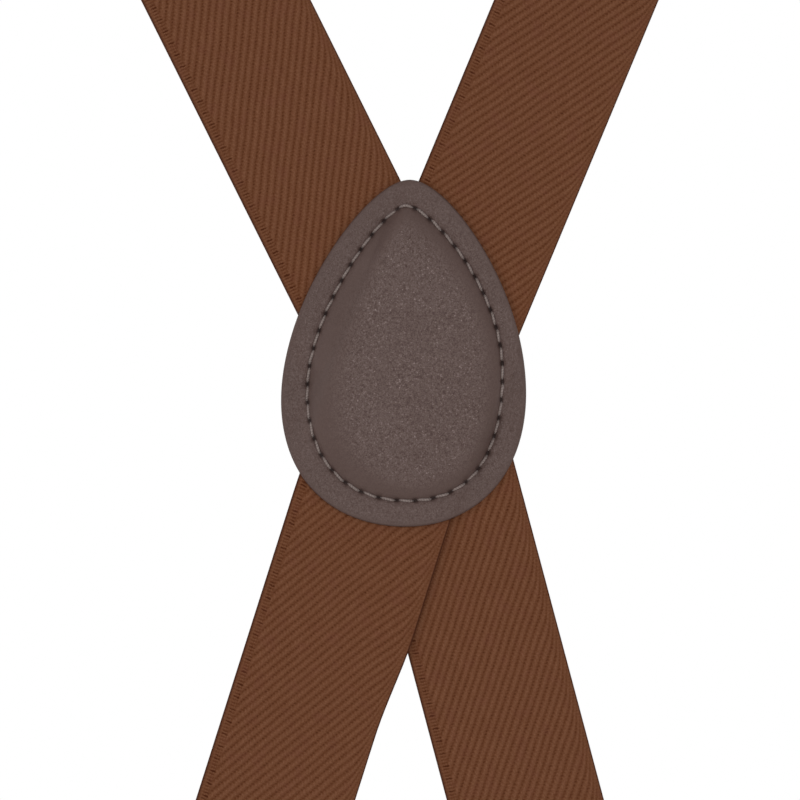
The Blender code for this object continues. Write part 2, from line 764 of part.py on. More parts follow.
def make_slider_lever(name, pivot):
    """Front plate on a barrel, whose lobe nips the strap against the back plate."""
    inner_half = STRAP_WIDTH / 2 + CHEEK_GAP - FINE_GAP
    block_inset = 0.5 * MM
    block_half = inner_half - block_inset
    lobe = SLIDER_PIN_Y - STRAP_THICK / 2 - FINE_GAP
    lobe_half = 0.7 * MM
    barrel = SLIDER_BARREL
    shoulder = 0.7 * barrel
    web = SLIDER_COVER_Y + 0.5 * MM
    web_half = barrel - WEB_INSET
    profile = rounded(
        [
            (-lobe, -lobe_half, 0.5 * MM), (-shoulder, -barrel, 0.8 * MM),
            (web, -web_half, 0.2 * MM), (web, web_half, 0.2 * MM),
            (-shoulder, barrel, 0.8 * MM), (-lobe, lobe_half, 0.5 * MM),
        ],
        0.5 * MM, 3,
    )
    bore = circle((0, 0), SLIDER_PIN_RADIUS + RUNNING_GAP)
    block = plate(f"{name}_block", [profile, bore], 2 * block_half, axes_yz(0))
    # The plate widens over the cheeks only below the part that turns in between them.
    half = STRAP_WIDTH / 2 + CHEEK_GAP + SHEET_THICK
    bottom = -SLIDER_PIN_Z - SLIDER_HALF_HEIGHT
    step = -SLIDER_STEP
    ledge = step - 0.7 * MM
    outline = rounded(
        [
            (inner_half, barrel), (inner_half, step, 0.3 * MM), (half, ledge, 0.3 * MM),
            (half, bottom, 3 * MM), (-half, bottom, 3 * MM), (-half, ledge, 0.3 * MM),
            (-inner_half, step, 0.3 * MM), (-inner_half, barrel),
        ],
        1.0 * MM, 4,
    )
    mesh = plate(name, [outline], SHEET_THICK, axes_xz(SLIDER_COVER_Y + SHEET_THICK / 2))
    body = add_object(name, mesh, "nickel", pivot)
    combine(body, add_guide(f"{name}_block", block, pivot), "UNION")
    round_edges(body)


def make_slider(name, matrix):
    frame = add_frame(f"{name}_frame_axes", matrix)
    pivot = add_frame(
        f"{name}_pin_frame", Matrix.Translation((0, SLIDER_PIN_Y, SLIDER_PIN_Z)), frame)
    make_slider_frame(f"{name}_frame", frame)
    make_slider_lever(f"{name}_lever", pivot)
    rivet(
        f"{name}_pin", "steel", SLIDER_PIN_RADIUS,
        STRAP_WIDTH / 2 + CHEEK_GAP + SHEET_THICK + FINE_GAP, 1.5 * MM, 0.5 * MM, pivot)
    return frame


# ---------------------------------------------------------------- the whole object

clear_scene()
PARTS = new_collection("suspenders")
CUTTERS = new_collection("cutters")
MATERIALS = {name: make_material(name) for name in COLOURS}

make_patch()
for strap_name, strap in STRAPS.items():
    # The left strap's tail crosses over to the right hip, and the right strap's to the left.
    hip = "right" if strap_name == "left" else "left"
    make_back_and_shoulder(f"{strap_name}_strap_back", strap)
    tail_axes = make_clip(f"back_{hip}_clip", tail_frame(strap))
    make_tail(f"{strap_name}_strap_tail", tail_axes)
    clip_axes = make_clip(
        f"front_{strap_name}_clip", front_frame(strap, FRONT_CLIP_Z, -LOOP_RADIUS))
    make_front(strap_name, strap, clip_axes)
    slider_axes = make_slider(f"{strap_name}_slider", front_frame(strap, SLIDER_Z, 0))
    make_slider_tab(f"{strap_name}_slider_tab", slider_axes)
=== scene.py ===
"""Looks of the crossed-back suspenders: woven straps, stitched leather patch, clips and sliders.

Metres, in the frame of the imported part: +Z up, the wearer faces +Y, the leather patch is at -Y.
"""

import json
import math
import random

import bmesh
import bpy
import numpy as np
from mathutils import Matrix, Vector


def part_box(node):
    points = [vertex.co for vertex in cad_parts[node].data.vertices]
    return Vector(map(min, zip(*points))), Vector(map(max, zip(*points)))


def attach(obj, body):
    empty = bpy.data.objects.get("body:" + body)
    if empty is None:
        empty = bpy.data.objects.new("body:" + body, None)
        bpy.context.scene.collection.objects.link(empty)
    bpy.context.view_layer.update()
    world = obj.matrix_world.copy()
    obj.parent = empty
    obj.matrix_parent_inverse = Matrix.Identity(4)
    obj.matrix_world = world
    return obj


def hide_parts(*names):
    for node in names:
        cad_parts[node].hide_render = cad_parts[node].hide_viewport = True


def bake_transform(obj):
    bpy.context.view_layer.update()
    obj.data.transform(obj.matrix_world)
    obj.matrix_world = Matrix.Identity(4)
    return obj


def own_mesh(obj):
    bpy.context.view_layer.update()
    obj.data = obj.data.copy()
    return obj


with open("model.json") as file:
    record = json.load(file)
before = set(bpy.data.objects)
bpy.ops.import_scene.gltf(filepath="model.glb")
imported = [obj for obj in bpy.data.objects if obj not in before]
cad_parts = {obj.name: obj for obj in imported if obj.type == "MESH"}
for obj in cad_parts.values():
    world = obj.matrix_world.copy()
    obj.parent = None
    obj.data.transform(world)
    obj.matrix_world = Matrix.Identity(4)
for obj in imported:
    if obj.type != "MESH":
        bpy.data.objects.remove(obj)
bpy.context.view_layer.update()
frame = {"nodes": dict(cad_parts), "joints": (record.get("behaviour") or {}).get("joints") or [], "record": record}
MM = 0.001

# ---- sizes, from the frame


def joint(name):
    return next(j for j in frame["joints"] if j["name"] == name)


def joint_place(name):
    return Vector(joint(name)["pos_m"])


def box_size(node):
    low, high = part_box(node)
    return high - low


STRAP_WIDTH = box_size("left_strap_return").x
STRAP_THICK = box_size("left_strap_return").y
FINE_GAP = 0.3 * MM
LAYER_PITCH = STRAP_THICK + FINE_GAP
LEATHER_THICK = box_size("patch_outer_leather").y
LINING_TOP = -STRAP_THICK / 2 - FINE_GAP  # all heights are from the lower layer's middle
LOOP_RADIUS = 2.35 * MM  # middle of the webbing where it wraps a bar
FLARE_LENGTH = 9 * MM  # over this the two layers spread apart to clear a bar
TAB_LENGTH = 30 * MM  # webbing sewn back on itself past a bar
SHOULDER_RADIUS = 100 * MM
BEND_LENGTH = 24 * MM  # each strap turns inside its own plane along this much
TAIL_LENGTH = 215 * MM  # crossing to the rear clip's bar
X_AXIS = Vector((1, 0, 0))
Y_AXIS = Vector((0, 1, 0))
Z_AXIS = Vector((0, 0, 1))

# The patch's outline and its stitch line are closed curves of four anchors, clockwise from the
# top: each anchor is x and z from the crossing, then its handle's length in and out.
PATCH_OUTLINE = [
    ((-1.4, 50.0), 10.2, 10.2), ((27.8, -3.4), 25.3, 19.9),
    ((-2.3, -36.6), 18.0, 18.0), ((-33.5, -5.1), 19.9, 25.3),
]
PATCH_STITCHES = [
    ((-2.2, 43.5), 5.4, 5.4), ((21.8, 2.0), 21.2, 21.2),
    ((-1.6, -30.1), 15.4, 15.4), ((-26.9, -3.0), 17.7, 20.3),
]
patch_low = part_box("patch_outer_leather")[0]
CROSSING = Vector((
    patch_low.x - PATCH_OUTLINE[3][0][0] * MM, 0, patch_low.z - PATCH_OUTLINE[2][0][1] * MM))

# lean_up and lean_down are a strap's angles from the vertical; corner is where the middles of
# its two straight runs would meet, x and z from the crossing.
STRAPS = {
    "left": {
        "side": -1, "lean_up": math.radians(26.5), "lean_down": math.radians(14.9),
        "corner": (-0.8 * MM, 1.7 * MM), "out": 0, "hip": "right",
    },
    "right": {
        "side": 1, "lean_up": math.radians(22.6), "lean_down": math.radians(17.6),
        "corner": (-9.2 * MM, -24 * MM), "out": LAYER_PITCH, "hip": "left",
    },
}


def smooth(value, low, high):
    """0 below low, 1 above high, smooth between; for numbers and for arrays."""
    t = np.clip((value - low) / (high - low), 0, 1)
    return t * t * (3 - 2 * t)


# ---- camera, light and floor

VIEW_WIDTH = 200 * MM  # what the square view spans at the patch
VIEW_DISTANCE = 2.0
SENSOR = 36.0
CROSSING_RIGHT_OF_AXIS = 3.75 * MM
CROSSING_ABOVE_AXIS = 5.0 * MM
FLOOR_Z = -0.75
FLOOR_RADIUS = 5.0
FLOOR_SIDES = 96
FLOOR_COLOUR = (0.86, 0.86, 0.85, 1)
SKY_GREYS = [(0.0, 0.30), (0.45, 0.20), (0.52, 0.55), (0.80, 0.62), (1.0, 0.80)]
AT_PATCH = (0, -0.1, -0.27)
AT_MIDDLE = (0, 0, -0.25)
LIGHTS = [  # name, place, target, diameter in metres, watts
    ("back_softbox", (0.30, -1.9, 0.0), AT_PATCH, 0.8, 15.6),
    ("back_side_softbox", (-1.1, -1.1, 0.0), AT_PATCH, 0.4, 4.2),
    ("front_softbox", (-0.3, 2.0, 0.4), AT_MIDDLE, 1.1, 26),
    ("left_softbox", (-2.0, 0.0, 0.3), AT_MIDDLE, 1.0, 8),
    ("right_softbox", (2.0, 0.1, 0.3), AT_MIDDLE, 1.0, 8),
    ("top_softbox", (0, 0, 1.9), AT_MIDDLE, 1.2, 8),
]


def add_object(name, data):
    item = bpy.data.objects.new(name, data)
    bpy.context.scene.collection.objects.link(item)
    return item


def make_camera():
    data = bpy.data.cameras.new("camera")
    data.sensor_width = SENSOR
    data.lens = SENSOR * VIEW_DISTANCE / VIEW_WIDTH
    data.clip_end = 50
    camera = add_object("camera", data)
    camera.location = (
        CROSSING.x - CROSSING_RIGHT_OF_AXIS,
        -SHOULDER_RADIUS - VIEW_DISTANCE,
        CROSSING.z - CROSSING_ABOVE_AXIS,
    )
    camera.rotation_euler = (math.pi / 2, 0, 0)
    bpy.context.scene.camera = camera


def area_light(name, place, target, size, watts):
    data = bpy.data.lights.new(name, "AREA")
    data.shape = "DISK"
    data.size = size
    data.energy = watts
    light = add_object(name, data)
    light.location = place
    light.rotation_euler = (Vector(target) - Vector(place)).to_track_quat("-Z", "Y").to_euler()


def make_studio_world():
    """White where the camera looks past the object, and a soft grey sky for everything else."""
    scene = bpy.context.scene
    scene.view_settings.view_transform = "Standard"
    world = bpy.data.worlds.new("studio")
    scene.world = world
    world.use_nodes = True
    nodes = world.node_tree.nodes
    links = world.node_tree.links
    seen = nodes["Background"]
    seen.inputs["Color"].default_value = (1, 1, 1, 1)
    seen.inputs["Strength"].default_value = 1.0
    fill = nodes.new("ShaderNodeBackground")
    place = nodes.new("ShaderNodeTexCoord")
    split = nodes.new("ShaderNodeSeparateXYZ")
    shade = nodes.new("ShaderNodeValToRGB")
    while len(shade.color_ramp.elements) < len(SKY_GREYS):
        shade.color_ramp.elements.new(0.5)
    for element, (at, grey) in zip(shade.color_ramp.elements, SKY_GREYS):
        element.position = at
        element.color = (grey, grey, grey, 1)
    height = nodes.new("ShaderNodeMapRange")
    height.inputs["From Min"].default_value = -1
    links.new(place.outputs["Generated"], split.inputs[0])
    links.new(split.outputs["Z"], height.inputs["Value"])
    links.new(height.outputs[0], shade.inputs["Fac"])
    links.new(shade.outputs["Color"], fill.inputs["Color"])
    path = nodes.new("ShaderNodeLightPath")
    mix = nodes.new("ShaderNodeMixShader")
    links.new(path.outputs["Is Camera Ray"], mix.inputs["Fac"])
    links.new(fill.outputs[0], mix.inputs[1])
    links.new(seen.outputs[0], mix.inputs[2])
    links.new(mix.outputs[0], nodes["World Output"].inputs["Surface"])


def make_floor():
    bpy.ops.mesh.primitive_circle_add(
        vertices=FLOOR_SIDES, radius=FLOOR_RADIUS, fill_type="NGON", location=(0, 0, FLOOR_Z))
    floor = bpy.context.object
    floor.name = "floor"
    material = bpy.data.materials.new("floor_paint")
    material.use_nodes = True
    shader = material.node_tree.nodes["Principled BSDF"]
    shader.inputs["Base Color"].default_value = FLOOR_COLOUR
    shader.inputs["Roughness"].default_value = 0.9
    floor.data.materials.append(material)


make_camera()
make_studio_world()
for light in LIGHTS:
    area_light(*light)
make_floor()

# ---- materials


class Field:
    """A number that varies over a surface. Arithmetic on it adds Math nodes."""

    def __init__(self, tree, socket):
        self.tree = tree
        self.socket = socket

    def math(self, operation, *others, clamp=False):
        node = self.tree.nodes.new("ShaderNodeMath")
        node.operation = operation
        node.use_clamp = clamp
        for index, value in enumerate((self, *others)):
            if isinstance(value, Field):
                self.tree.links.new(value.socket, node.inputs[index])
            else:
                node.inputs[index].default_value = value
        return Field(self.tree, node.outputs[0])

    def __add__(self, other):
        return self.math("ADD", other)

    def __sub__(self, other):
        return self.math("SUBTRACT", other)

    def __mul__(self, other):
        return self.math("MULTIPLY", other)

    def __truediv__(self, other):
        return self.math("DIVIDE", other)

    def flipped(self):
        """One minus the field."""
        return (self * -1) + 1

    def wave(self):
        """0 to 1 and back each time the field grows by 1; highest at whole numbers."""
        return (self * (2 * math.pi)).math("COSINE") * 0.5 + 0.5

    def power(self, exponent):
        return self.math("POWER", exponent)

    def ramp(self, low, high):
        """0 below low, 1 above high, smooth between; low may be the larger one."""
        node = self.tree.nodes.new("ShaderNodeMapRange")
        node.interpolation_type = "SMOOTHSTEP"
        node.clamp = True
        self.tree.links.new(self.socket, node.inputs["Value"])
        node.inputs["From Min"].default_value = low
        node.inputs["From Max"].default_value = high
        return Field(self.tree, node.outputs["Result"])


class Surface:
    """A material whose Principled shader is fed by fields."""

    def __init__(self, name, metallic=0.0):
        self.material = bpy.data.materials.new(name)
        self.material.use_nodes = True
        self.tree = self.material.node_tree
        self.shader = self.tree.nodes["Principled BSDF"]
        self.shader.inputs["Metallic"].default_value = metallic

    def set(self, **values):
        """Constant shader inputs, with _ for the space in their names."""
        for name, value in values.items():
            self.shader.inputs[name.replace("_", " ")].default_value = value

    def object_place(self):
        node = self.tree.nodes.new("ShaderNodeTexCoord")
        return node.outputs["Object"]

    def uv(self):
        """Across and along the piece, in millimetres."""
        node = self.tree.nodes.new("ShaderNodeUVMap")
        node.uv_map = "cloth"
        split = self.tree.nodes.new("ShaderNodeSeparateXYZ")
        self.tree.links.new(node.outputs[0], split.inputs[0])
        across = Field(self.tree, split.outputs[0]) / MM
        along = Field(self.tree, split.outputs[1]) / MM
        return across, along, node.outputs[0]

    def noise(self, place, per_metre, detail=2.0, roughness=0.5, stretch=(1, 1, 1)):
        mapping = self.tree.nodes.new("ShaderNodeMapping")
        mapping.inputs["Scale"].default_value = stretch
        self.tree.links.new(place, mapping.inputs["Vector"])
        node = self.tree.nodes.new("ShaderNodeTexNoise")
        node.inputs["Scale"].default_value = per_metre
        node.inputs["Detail"].default_value = detail
        node.inputs["Roughness"].default_value = roughness
        self.tree.links.new(mapping.outputs[0], node.inputs["Vector"])
        return Field(self.tree, node.outputs[0])

    def cells(self, place, per_metre, feature):
        node = self.tree.nodes.new("ShaderNodeTexVoronoi")
        node.feature = feature
        node.inputs["Scale"].default_value = per_metre
        self.tree.links.new(place, node.inputs["Vector"])
        return Field(self.tree, node.outputs["Distance"])

    def attribute(self, name):
        node = self.tree.nodes.new("ShaderNodeAttribute")
        node.attribute_name = name
        return Field(self.tree, node.outputs["Fac"])

    def colours(self, factor, stops):
        """A colour ramp: stops are (place, colour)."""
        node = self.tree.nodes.new("ShaderNodeValToRGB")
        elements = node.color_ramp.elements
        while len(elements) < len(stops):
            elements.new(0.5)
        for element, (place, colour) in zip(elements, stops):
            element.position = place
            element.color = (*colour, 1)
        self.tree.links.new(factor.socket, node.inputs["Fac"])
        return node.outputs["Color"]

    def mix(self, factor, first, second):
        """first where factor is 0 and second where it is 1; each a socket or a colour."""
        node = self.tree.nodes.new("ShaderNodeMix")
        node.data_type = "RGBA"
        self.tree.links.new(factor.socket, node.inputs["Factor"])
        for name, value in (("A", first), ("B", second)):
            socket = next(s for s in node.inputs if s.name == name and s.type == "RGBA")
            if isinstance(value, tuple):
                socket.default_value = (*value, 1)
            else:
                self.tree.links.new(value, socket)
        return next(s for s in node.outputs if s.type == "RGBA")

    def finish(self, colour, roughness, height, height_mm):
        """Joins the fields to the shader; height 1 stands height_mm proud of height 0."""
        self.tree.links.new(colour, self.shader.inputs["Base Color"])
        if roughness is not None:
            self.tree.links.new(roughness.socket, self.shader.inputs["Roughness"])
        bump = self.tree.nodes.new("ShaderNodeBump")
        bump.inputs["Distance"].default_value = height_mm * MM
        bump.inputs["Strength"].default_value = 1.0
        self.tree.links.new(height.socket, bump.inputs["Height"])
        self.tree.links.new(bump.outputs[0], self.shader.inputs["Normal"])
        return self.material


# Lengths of the webbing's pattern are in millimetres; left and right are as seen from outside.
RIB_LEAN = math.radians(33)  # the ribs lean this much to the right of the strap's length
RIB_PITCH = 1.77
PICK_LEAN = math.radians(34)
PICK_PITCH = 0.93
TICK_PITCH = 0.81
HOOK_REACH = 3.6  # from the right edge, where the ribs turn along the strap
HOOK_SHIFT = 2.2  # how far a rib has moved along at the very edge
LEFT_SELVEDGE = (2.2, 3.2)  # from the left edge, where the plain selvedge turns into ribs
RIGHT_SELVEDGE = (0.3, 2.6)
LEFT_EDGE_SHADE = (0.75, 0.25)  # from an edge, over which painted shade darkens the cloth towards it
RIGHT_EDGE_SHADE = (0.45, 0.15)
WEBBING_BROWNS = [
    (0.0, (0.0410, 0.0105, 0.0035)), (0.30, (0.0750, 0.0255, 0.0105)),
    (0.62, (0.1010, 0.0395, 0.0190)), (1.0, (0.1440, 0.0640, 0.0355)),
]
WEBBING_RED = (0.098, 0.032, 0.021)
# colour of the painted shade along the webbing's edges
WEBBING_EDGE_SHADE = (0.034, 0.010, 0.005)
LEATHER_TAUPES = [
    (0.0, (0.036, 0.0172, 0.0128)), (0.45, (0.070, 0.0440, 0.0382)),
    (0.75, (0.100, 0.069, 0.062)), (1.0, (0.225, 0.174, 0.164)),
]
NEEDLE_HOLE_SHADE = (0.012, 0.005, 0.004)
LINING_TINT = 0.85
PLY_PITCH = 0.62  # of the thread's plies, in millimetres


def make_webbing():
    """Elastic twill: slanted ribs, fine picks across them, and a plain edge with loose ticks; painted shade
    darkens the grooves and both edges.
    """
    cloth = Surface("brown_elastic_webbing")
    x, s, place = cloth.uv()
    wander = cloth.noise(place, 60, 2.0) * 0.8
    jitter = cloth.noise(place, 1700, 2.0) - 0.5
    pick_phase = (x * math.cos(PICK_LEAN) + s * math.sin(PICK_LEAN) + wander * 0.5) / PICK_PITCH
    pick = (pick_phase + jitter * 0.8).wave()
    weft = (s / TICK_PITCH + x * 0.35 + jitter * 0.9).wave()
    half = STRAP_WIDTH / MM / 2
    from_left = x + half
    from_right = (x * -1) + half
    hook = from_right.ramp(HOOK_REACH, 0.0).power(2.0) * HOOK_SHIFT
    rib_phase = (x * math.cos(RIB_LEAN) - s * math.sin(RIB_LEAN) + wander + hook) / RIB_PITCH
    rib = (rib_phase + jitter * 0.20 + pick * 0.07).wave().power(0.62)
    groove = rib.flipped().power(1.3)

    ribbed = from_left.ramp(*LEFT_SELVEDGE) * (from_right.ramp(*RIGHT_SELVEDGE) * 0.7 + 0.3)
    tick_phase = s / TICK_PITCH + jitter * 0.9 + x * 0.14
    ticks = tick_phase.wave().power(2.2) * (cloth.noise(place, 800, 1.0) * 1.9 - 0.1)
    rhythm = (s / TICK_PITCH / 4 + jitter * 0.2 + 0.4).wave().power(3.0) * 0.9 + 0.35
    tick_band = from_left.ramp(1.0, 1.6) * from_left.ramp(3.1, 2.3)
    plain = (s / TICK_PITCH + jitter * 0.5).wave() * 0.20 + (x / 0.6).wave() * 0.10 + 0.40

    yarn = cloth.noise(place, 2700, 2.0, 0.7)
    streak = cloth.noise(place, 700, 2.0, 0.5, (1, 0.25, 1))
    # ribs lighter and grooves darker: partly the weave's own pattern, partly painted shade in the grooves
    weave_and_painted_shade = (rib * 0.28) + (pick * 0.09) + 0.38 - (groove * weft * 0.27)
    level = weave_and_painted_shade * ribbed + plain * ribbed.flipped() - ticks * rhythm * tick_band * 0.75
    level = level + (yarn - 0.5) * 0.85 + (streak - 0.5) * 0.22
    level = level.math("ADD", 0.0, clamp=True)
    colour = cloth.colours(level, WEBBING_BROWNS)
    patches = cloth.noise(place, 200, 2.0).ramp(0.5, 0.75) * 0.22
    colour = cloth.mix(patches, colour, WEBBING_RED)
    # painted shade: the colour darkens towards both edges, where the rounded edge turns from the light
    rim = from_left.ramp(*LEFT_EDGE_SHADE) + from_right.ramp(*RIGHT_EDGE_SHADE)
    colour = cloth.mix(rim * 0.8, colour, WEBBING_EDGE_SHADE)
    cloth.set(Roughness=0.9, Specular_IOR_Level=0.04)
    return cloth.finish(colour, None, level, 0.10)


def make_leather(name, tint):
    """Fine grained taupe leather: smooth on the flanks, with painted light and glints on the dome's middle, and
    painted shade on its flanks and in the needle holes.
    """
    hide = Surface(name)
    place = hide.object_place()
    fine = hide.noise(place, 2900, 2.0, 0.6)
    # painted glints: bright specks in the colour, also raised a little in the bump
    glint = hide.noise(place, 2400, 1.0, 0.5, (1, 1, 1.5)).ramp(0.66, 0.80)
    pores = hide.cells(place, 1500, "SMOOTH_F1")
    creases = hide.cells(place, 520, "DISTANCE_TO_EDGE").ramp(0.0, 0.08)
    broad = hide.noise(place, 90, 3.0)
    # this attribute sets how strong the grain is, and paints light on the dome's middle and shade on its flanks
    crown_with_painted_light = hide.attribute("crown_with_painted_light")
    grain = (fine - 0.5) * 3.0 + (pores - 0.4) * -0.9 + glint * 0.9
    grain = grain * (crown_with_painted_light * 0.82 + 0.18)
    height = grain * 0.4 + 0.5 + creases * 0.08
    # painted light and painted shade: the dome's middle is lighter and its flanks darker
    tone = grain * 0.56 + 0.30 + (broad - 0.5) * 0.12 + crown_with_painted_light * 0.18
    tone = tone.math("ADD", 0.0, clamp=True)
    shades = [(at, tuple(channel * tint for channel in shade)) for at, shade in LEATHER_TAUPES]
    colour = hide.colours(tone, shades)
    hole = hide.attribute("hole")
    # painted shade in the needle holes: a near-black colour where the dimples are
    colour = hide.mix(hole.math("ADD", 0.0, clamp=True), colour, NEEDLE_HOLE_SHADE)
    roughness = (grain * -0.16) + 0.60
    hide.set(Specular_IOR_Level=0.24)
    return hide.finish(colour, roughness, height, 0.18)


def make_thread(name, dark, light):
    """Twisted thread: a slanting stripe over its two plies."""
    thread = Surface(name)
    x, s, place = thread.uv()
    ply = (s / PLY_PITCH + x).wave()
    fuzz = thread.noise(place, 3500, 3.0)
    level = ply * 0.35 + fuzz * 0.65
    colour = thread.colours(level, [(0.15, dark), (0.85, light)])
    thread.set(Roughness=0.62, Sheen_Weight=0.1, Specular_IOR_Level=0.3)
    return thread.finish(colour, None, ply, 0.06)


def make_nickel():
    """Bright nickel plate with a faint brushed grain and small scuffs."""
    metal = Surface("satin_nickel", 1.0)
    place = metal.object_place()
    grain = metal.noise(place, 2600, 2.0, 0.6, (0.04, 1, 1))
    clouds = metal.noise(place, 160, 2.0)
    scuffs = metal.noise(place, 700, 4.0, 0.7).ramp(0.62, 0.72)
    tone = clouds * 0.3 + grain * 0.7
    colour = metal.colours(tone, [(0.3, (0.40, 0.39, 0.37)), (0.7, (0.54, 0.525, 0.50))])
    roughness = clouds * 0.06 + grain * 0.12 + scuffs * 0.10 + 0.14
    return metal.finish(colour, roughness, grain * 0.8 + scuffs * 0.2, 0.010)


def make_steel():
    metal = Surface("bright_steel", 1.0)
    place = metal.object_place()
    rings = metal.noise(place, 1500, 2.0)
    colour = metal.colours(rings, [(0.3, (0.40, 0.40, 0.39)), (0.7, (0.60, 0.60, 0.58))])
    return metal.finish(colour, rings * 0.2 + 0.22, rings, 0.010)


def make_nylon():
    plastic = Surface("dark_nylon")
    place = plastic.object_place()
    pits = plastic.noise(place, 1800, 3.0)
    flow = plastic.noise(place, 200, 2.0)
    colour = plastic.colours(flow, [(0.3, (0.016, 0.015, 0.014)), (0.7, (0.032, 0.029, 0.027))])
    return plastic.finish(colour, pits * 0.2 + 0.38, pits, 0.03)


def make_felt():
    felt = Surface("padding_felt")
    place = felt.object_place()
    fibres = felt.noise(place, 1400, 5.0, 0.7)
    colour = felt.colours(fibres, [(0.3, (0.13, 0.115, 0.105)), (0.7, (0.25, 0.23, 0.215))])
    felt.set(Roughness=0.95, Sheen_Weight=0.3)
    return felt.finish(colour, None, fibres, 0.3)


def finish_piece(name, bm, material):
    """Turns a finished bmesh into a piece of the scene."""
    bmesh.ops.recalc_face_normals(bm, faces=bm.faces)
    mesh = bpy.data.meshes.new(name)
    bm.to_mesh(mesh)
    bm.free()
    mesh.materials.append(material)
    return add_object(name, mesh)


WEBBING = make_webbing()
LEATHER = make_leather("taupe_leather", 1.0)
LINING = make_leather("taupe_lining_leather", LINING_TINT)
PATCH_THREAD = make_thread("taupe_thread", (0.088, 0.064, 0.057), (0.190, 0.150, 0.137))
STRAP_THREAD = make_thread("brown_thread", (0.060, 0.022, 0.012), (0.15, 0.062, 0.036))
NICKEL = make_nickel()
STEEL = make_steel()
NYLON = make_nylon()
FELT = make_felt()

# ---- where a strap runs


def heading(side, lean):
    """Up the strap, in the back plane."""
    return Vector((side * math.sin(lean), 0, math.cos(lean)))


def bend_span(strap):
    """Lengths from the crossing at which the strap's turn starts and ends."""
    middle_lean = (strap["lean_up"] + strap["lean_down"]) / 2
    middle = strap["corner"][1] / math.cos(middle_lean)
    return middle - BEND_LENGTH / 2, middle + BEND_LENGTH / 2


def bend_point(strap, along):
    """Middle of the strap inside its turn, along it from the crossing, and its lean there."""
    side = strap["side"]
    start, end = bend_span(strap)
    turn = (strap["lean_up"] - strap["lean_down"]) / BEND_LENGTH
    lean = strap["lean_down"] + turn * (along - start)
    middle_lean = (strap["lean_up"] + strap["lean_down"]) / 2
    cut = (1 / math.cos(turn * (end - start) / 2) - 1) / turn
    across = cut * math.cos(middle_lean) + (math.cos(middle_lean) - math.cos(lean)) / turn
    up = -cut * math.sin(middle_lean) + (math.sin(lean) - math.sin(middle_lean)) / turn
    corner = CROSSING + Vector((strap["corner"][0], -SHOULDER_RADIUS, strap["corner"][1]))
    return corner + Vector((side * across, 0, up)), lean


def arch_start(strap):
    """Length from the crossing to the arch, which puts the strap's highest point at z = 0."""
    tilt = strap["lean_up"] / 2
    to_top = math.pi / 2 * SHOULDER_RADIUS
    rise = math.cos(tilt) * SHOULDER_RADIUS - math.sin(tilt) * math.tan(tilt) * to_top
    bend_end = bend_span(strap)[1]
    return bend_end + (-bend_point(strap, bend_end)[0].z - rise) / math.cos(strap["lean_up"])


def strap_point(strap, along, across, out=0):
    """A point of the strap: length from the crossing, to the right of the middle, and outward.

    Over the shoulder the flat strap is rolled round a half cylinder whose axis is tilted by
    half of the strap's lean, which is what lets its front end hang exactly vertical.
    """
    side = strap["side"]
    out += strap["out"]
    bend_start, bend_end = bend_span(strap)
    if along <= bend_end:
        inside = max(along, bend_start)
        middle, lean = bend_point(strap, inside)
        up = heading(side, lean)
        right = Vector((up.z, 0, -up.x))
        return middle + up * (along - inside) + right * across - Vector((0, out, 0))
    tilt = strap["lean_up"] / 2
    start = strap["arch"]
    run = heading(side, strap["lean_up"]) * (start - bend_end)
    base = bend_point(strap, bend_end)[0] + run
    axis = Vector((side * math.cos(tilt), 0, -math.sin(tilt)))
    rise = Vector((side * math.sin(tilt), 0, math.cos(tilt)))
    sideways = (along - start) * math.sin(tilt) + side * across * math.cos(tilt)
    length = (along - start) * math.cos(tilt) - side * across * math.sin(tilt)
    arch = math.pi * SHOULDER_RADIUS
    angle = min(max(length / SHOULDER_RADIUS, 0), math.pi)
    height = (SHOULDER_RADIUS + out) * math.sin(angle)
    if length < 0:
        height = length
    if length > arch:
        height = arch - length
    depth = SHOULDER_RADIUS - (SHOULDER_RADIUS + out) * math.cos(angle)
    return base + axis * sideways + rise * height + Vector((0, depth, 0))


for strap in STRAPS.values():
    strap["arch"] = arch_start(strap)


# Below the crossing the upper strap's right half widens by up to SPREAD, which is full between
# the middle two of SPREAD_ENDS and gone beyond the outer two: lengths from the crossing.
SPREAD = 1.6 * MM
SPREAD_ENDS = (-88 * MM, -60 * MM, -34 * MM, -8 * MM)


def flat_station(strap, along):
    """Cross-section of a strap at a length from the crossing."""
    low, full_from, full_to, high = SPREAD_ENDS
    share = smooth(along, low, full_from) * (1 - smooth(along, full_to, high))
    wider = SPREAD * share if strap["out"] > 0 else 0

    def place(across, out):
        right = max(0, 2 * across / STRAP_WIDTH)
        return strap_point(strap, along, across + wider * right * right, out)

    return along, place


def loop_stations(bar, right, outward, up, start, turning, path):
    """Cross-sections along a side path of (outward, up) points round a bar.

    start is the length from the crossing at the path's first point, and turning is +1 or -1:
    whether that length grows or falls along the path.
    """
    stations = []
    length = 0
    for index, point in enumerate(path):
        before = Vector(path[max(index - 1, 0)])
        after = Vector(path[min(index + 1, len(path) - 1)])
        ahead = (after - before).normalized()
        normal = Vector((-ahead.y, ahead.x))
        if index:
            length += (Vector(point) - Vector(path[index - 1])).length
        origin = bar + outward * point[0] + up * point[1]
        facing = outward * normal.x + up * normal.y

        def place(across, out, origin=origin, facing=facing):
            return origin + right * across + facing * out

        stations.append((start + turning * length, place))
    return stations


ARC_STEPS = 14
FLARE_STEPS = 8
STATION_STEP = 3 * MM


def arc(end):
    """Side-path points round a bar from its outer side to the angle end."""
    angles = [end * i / ARC_STEPS for i in range(ARC_STEPS + 1)]
    return [(LOOP_RADIUS * math.cos(angle), LOOP_RADIUS * math.sin(angle)) for angle in angles]


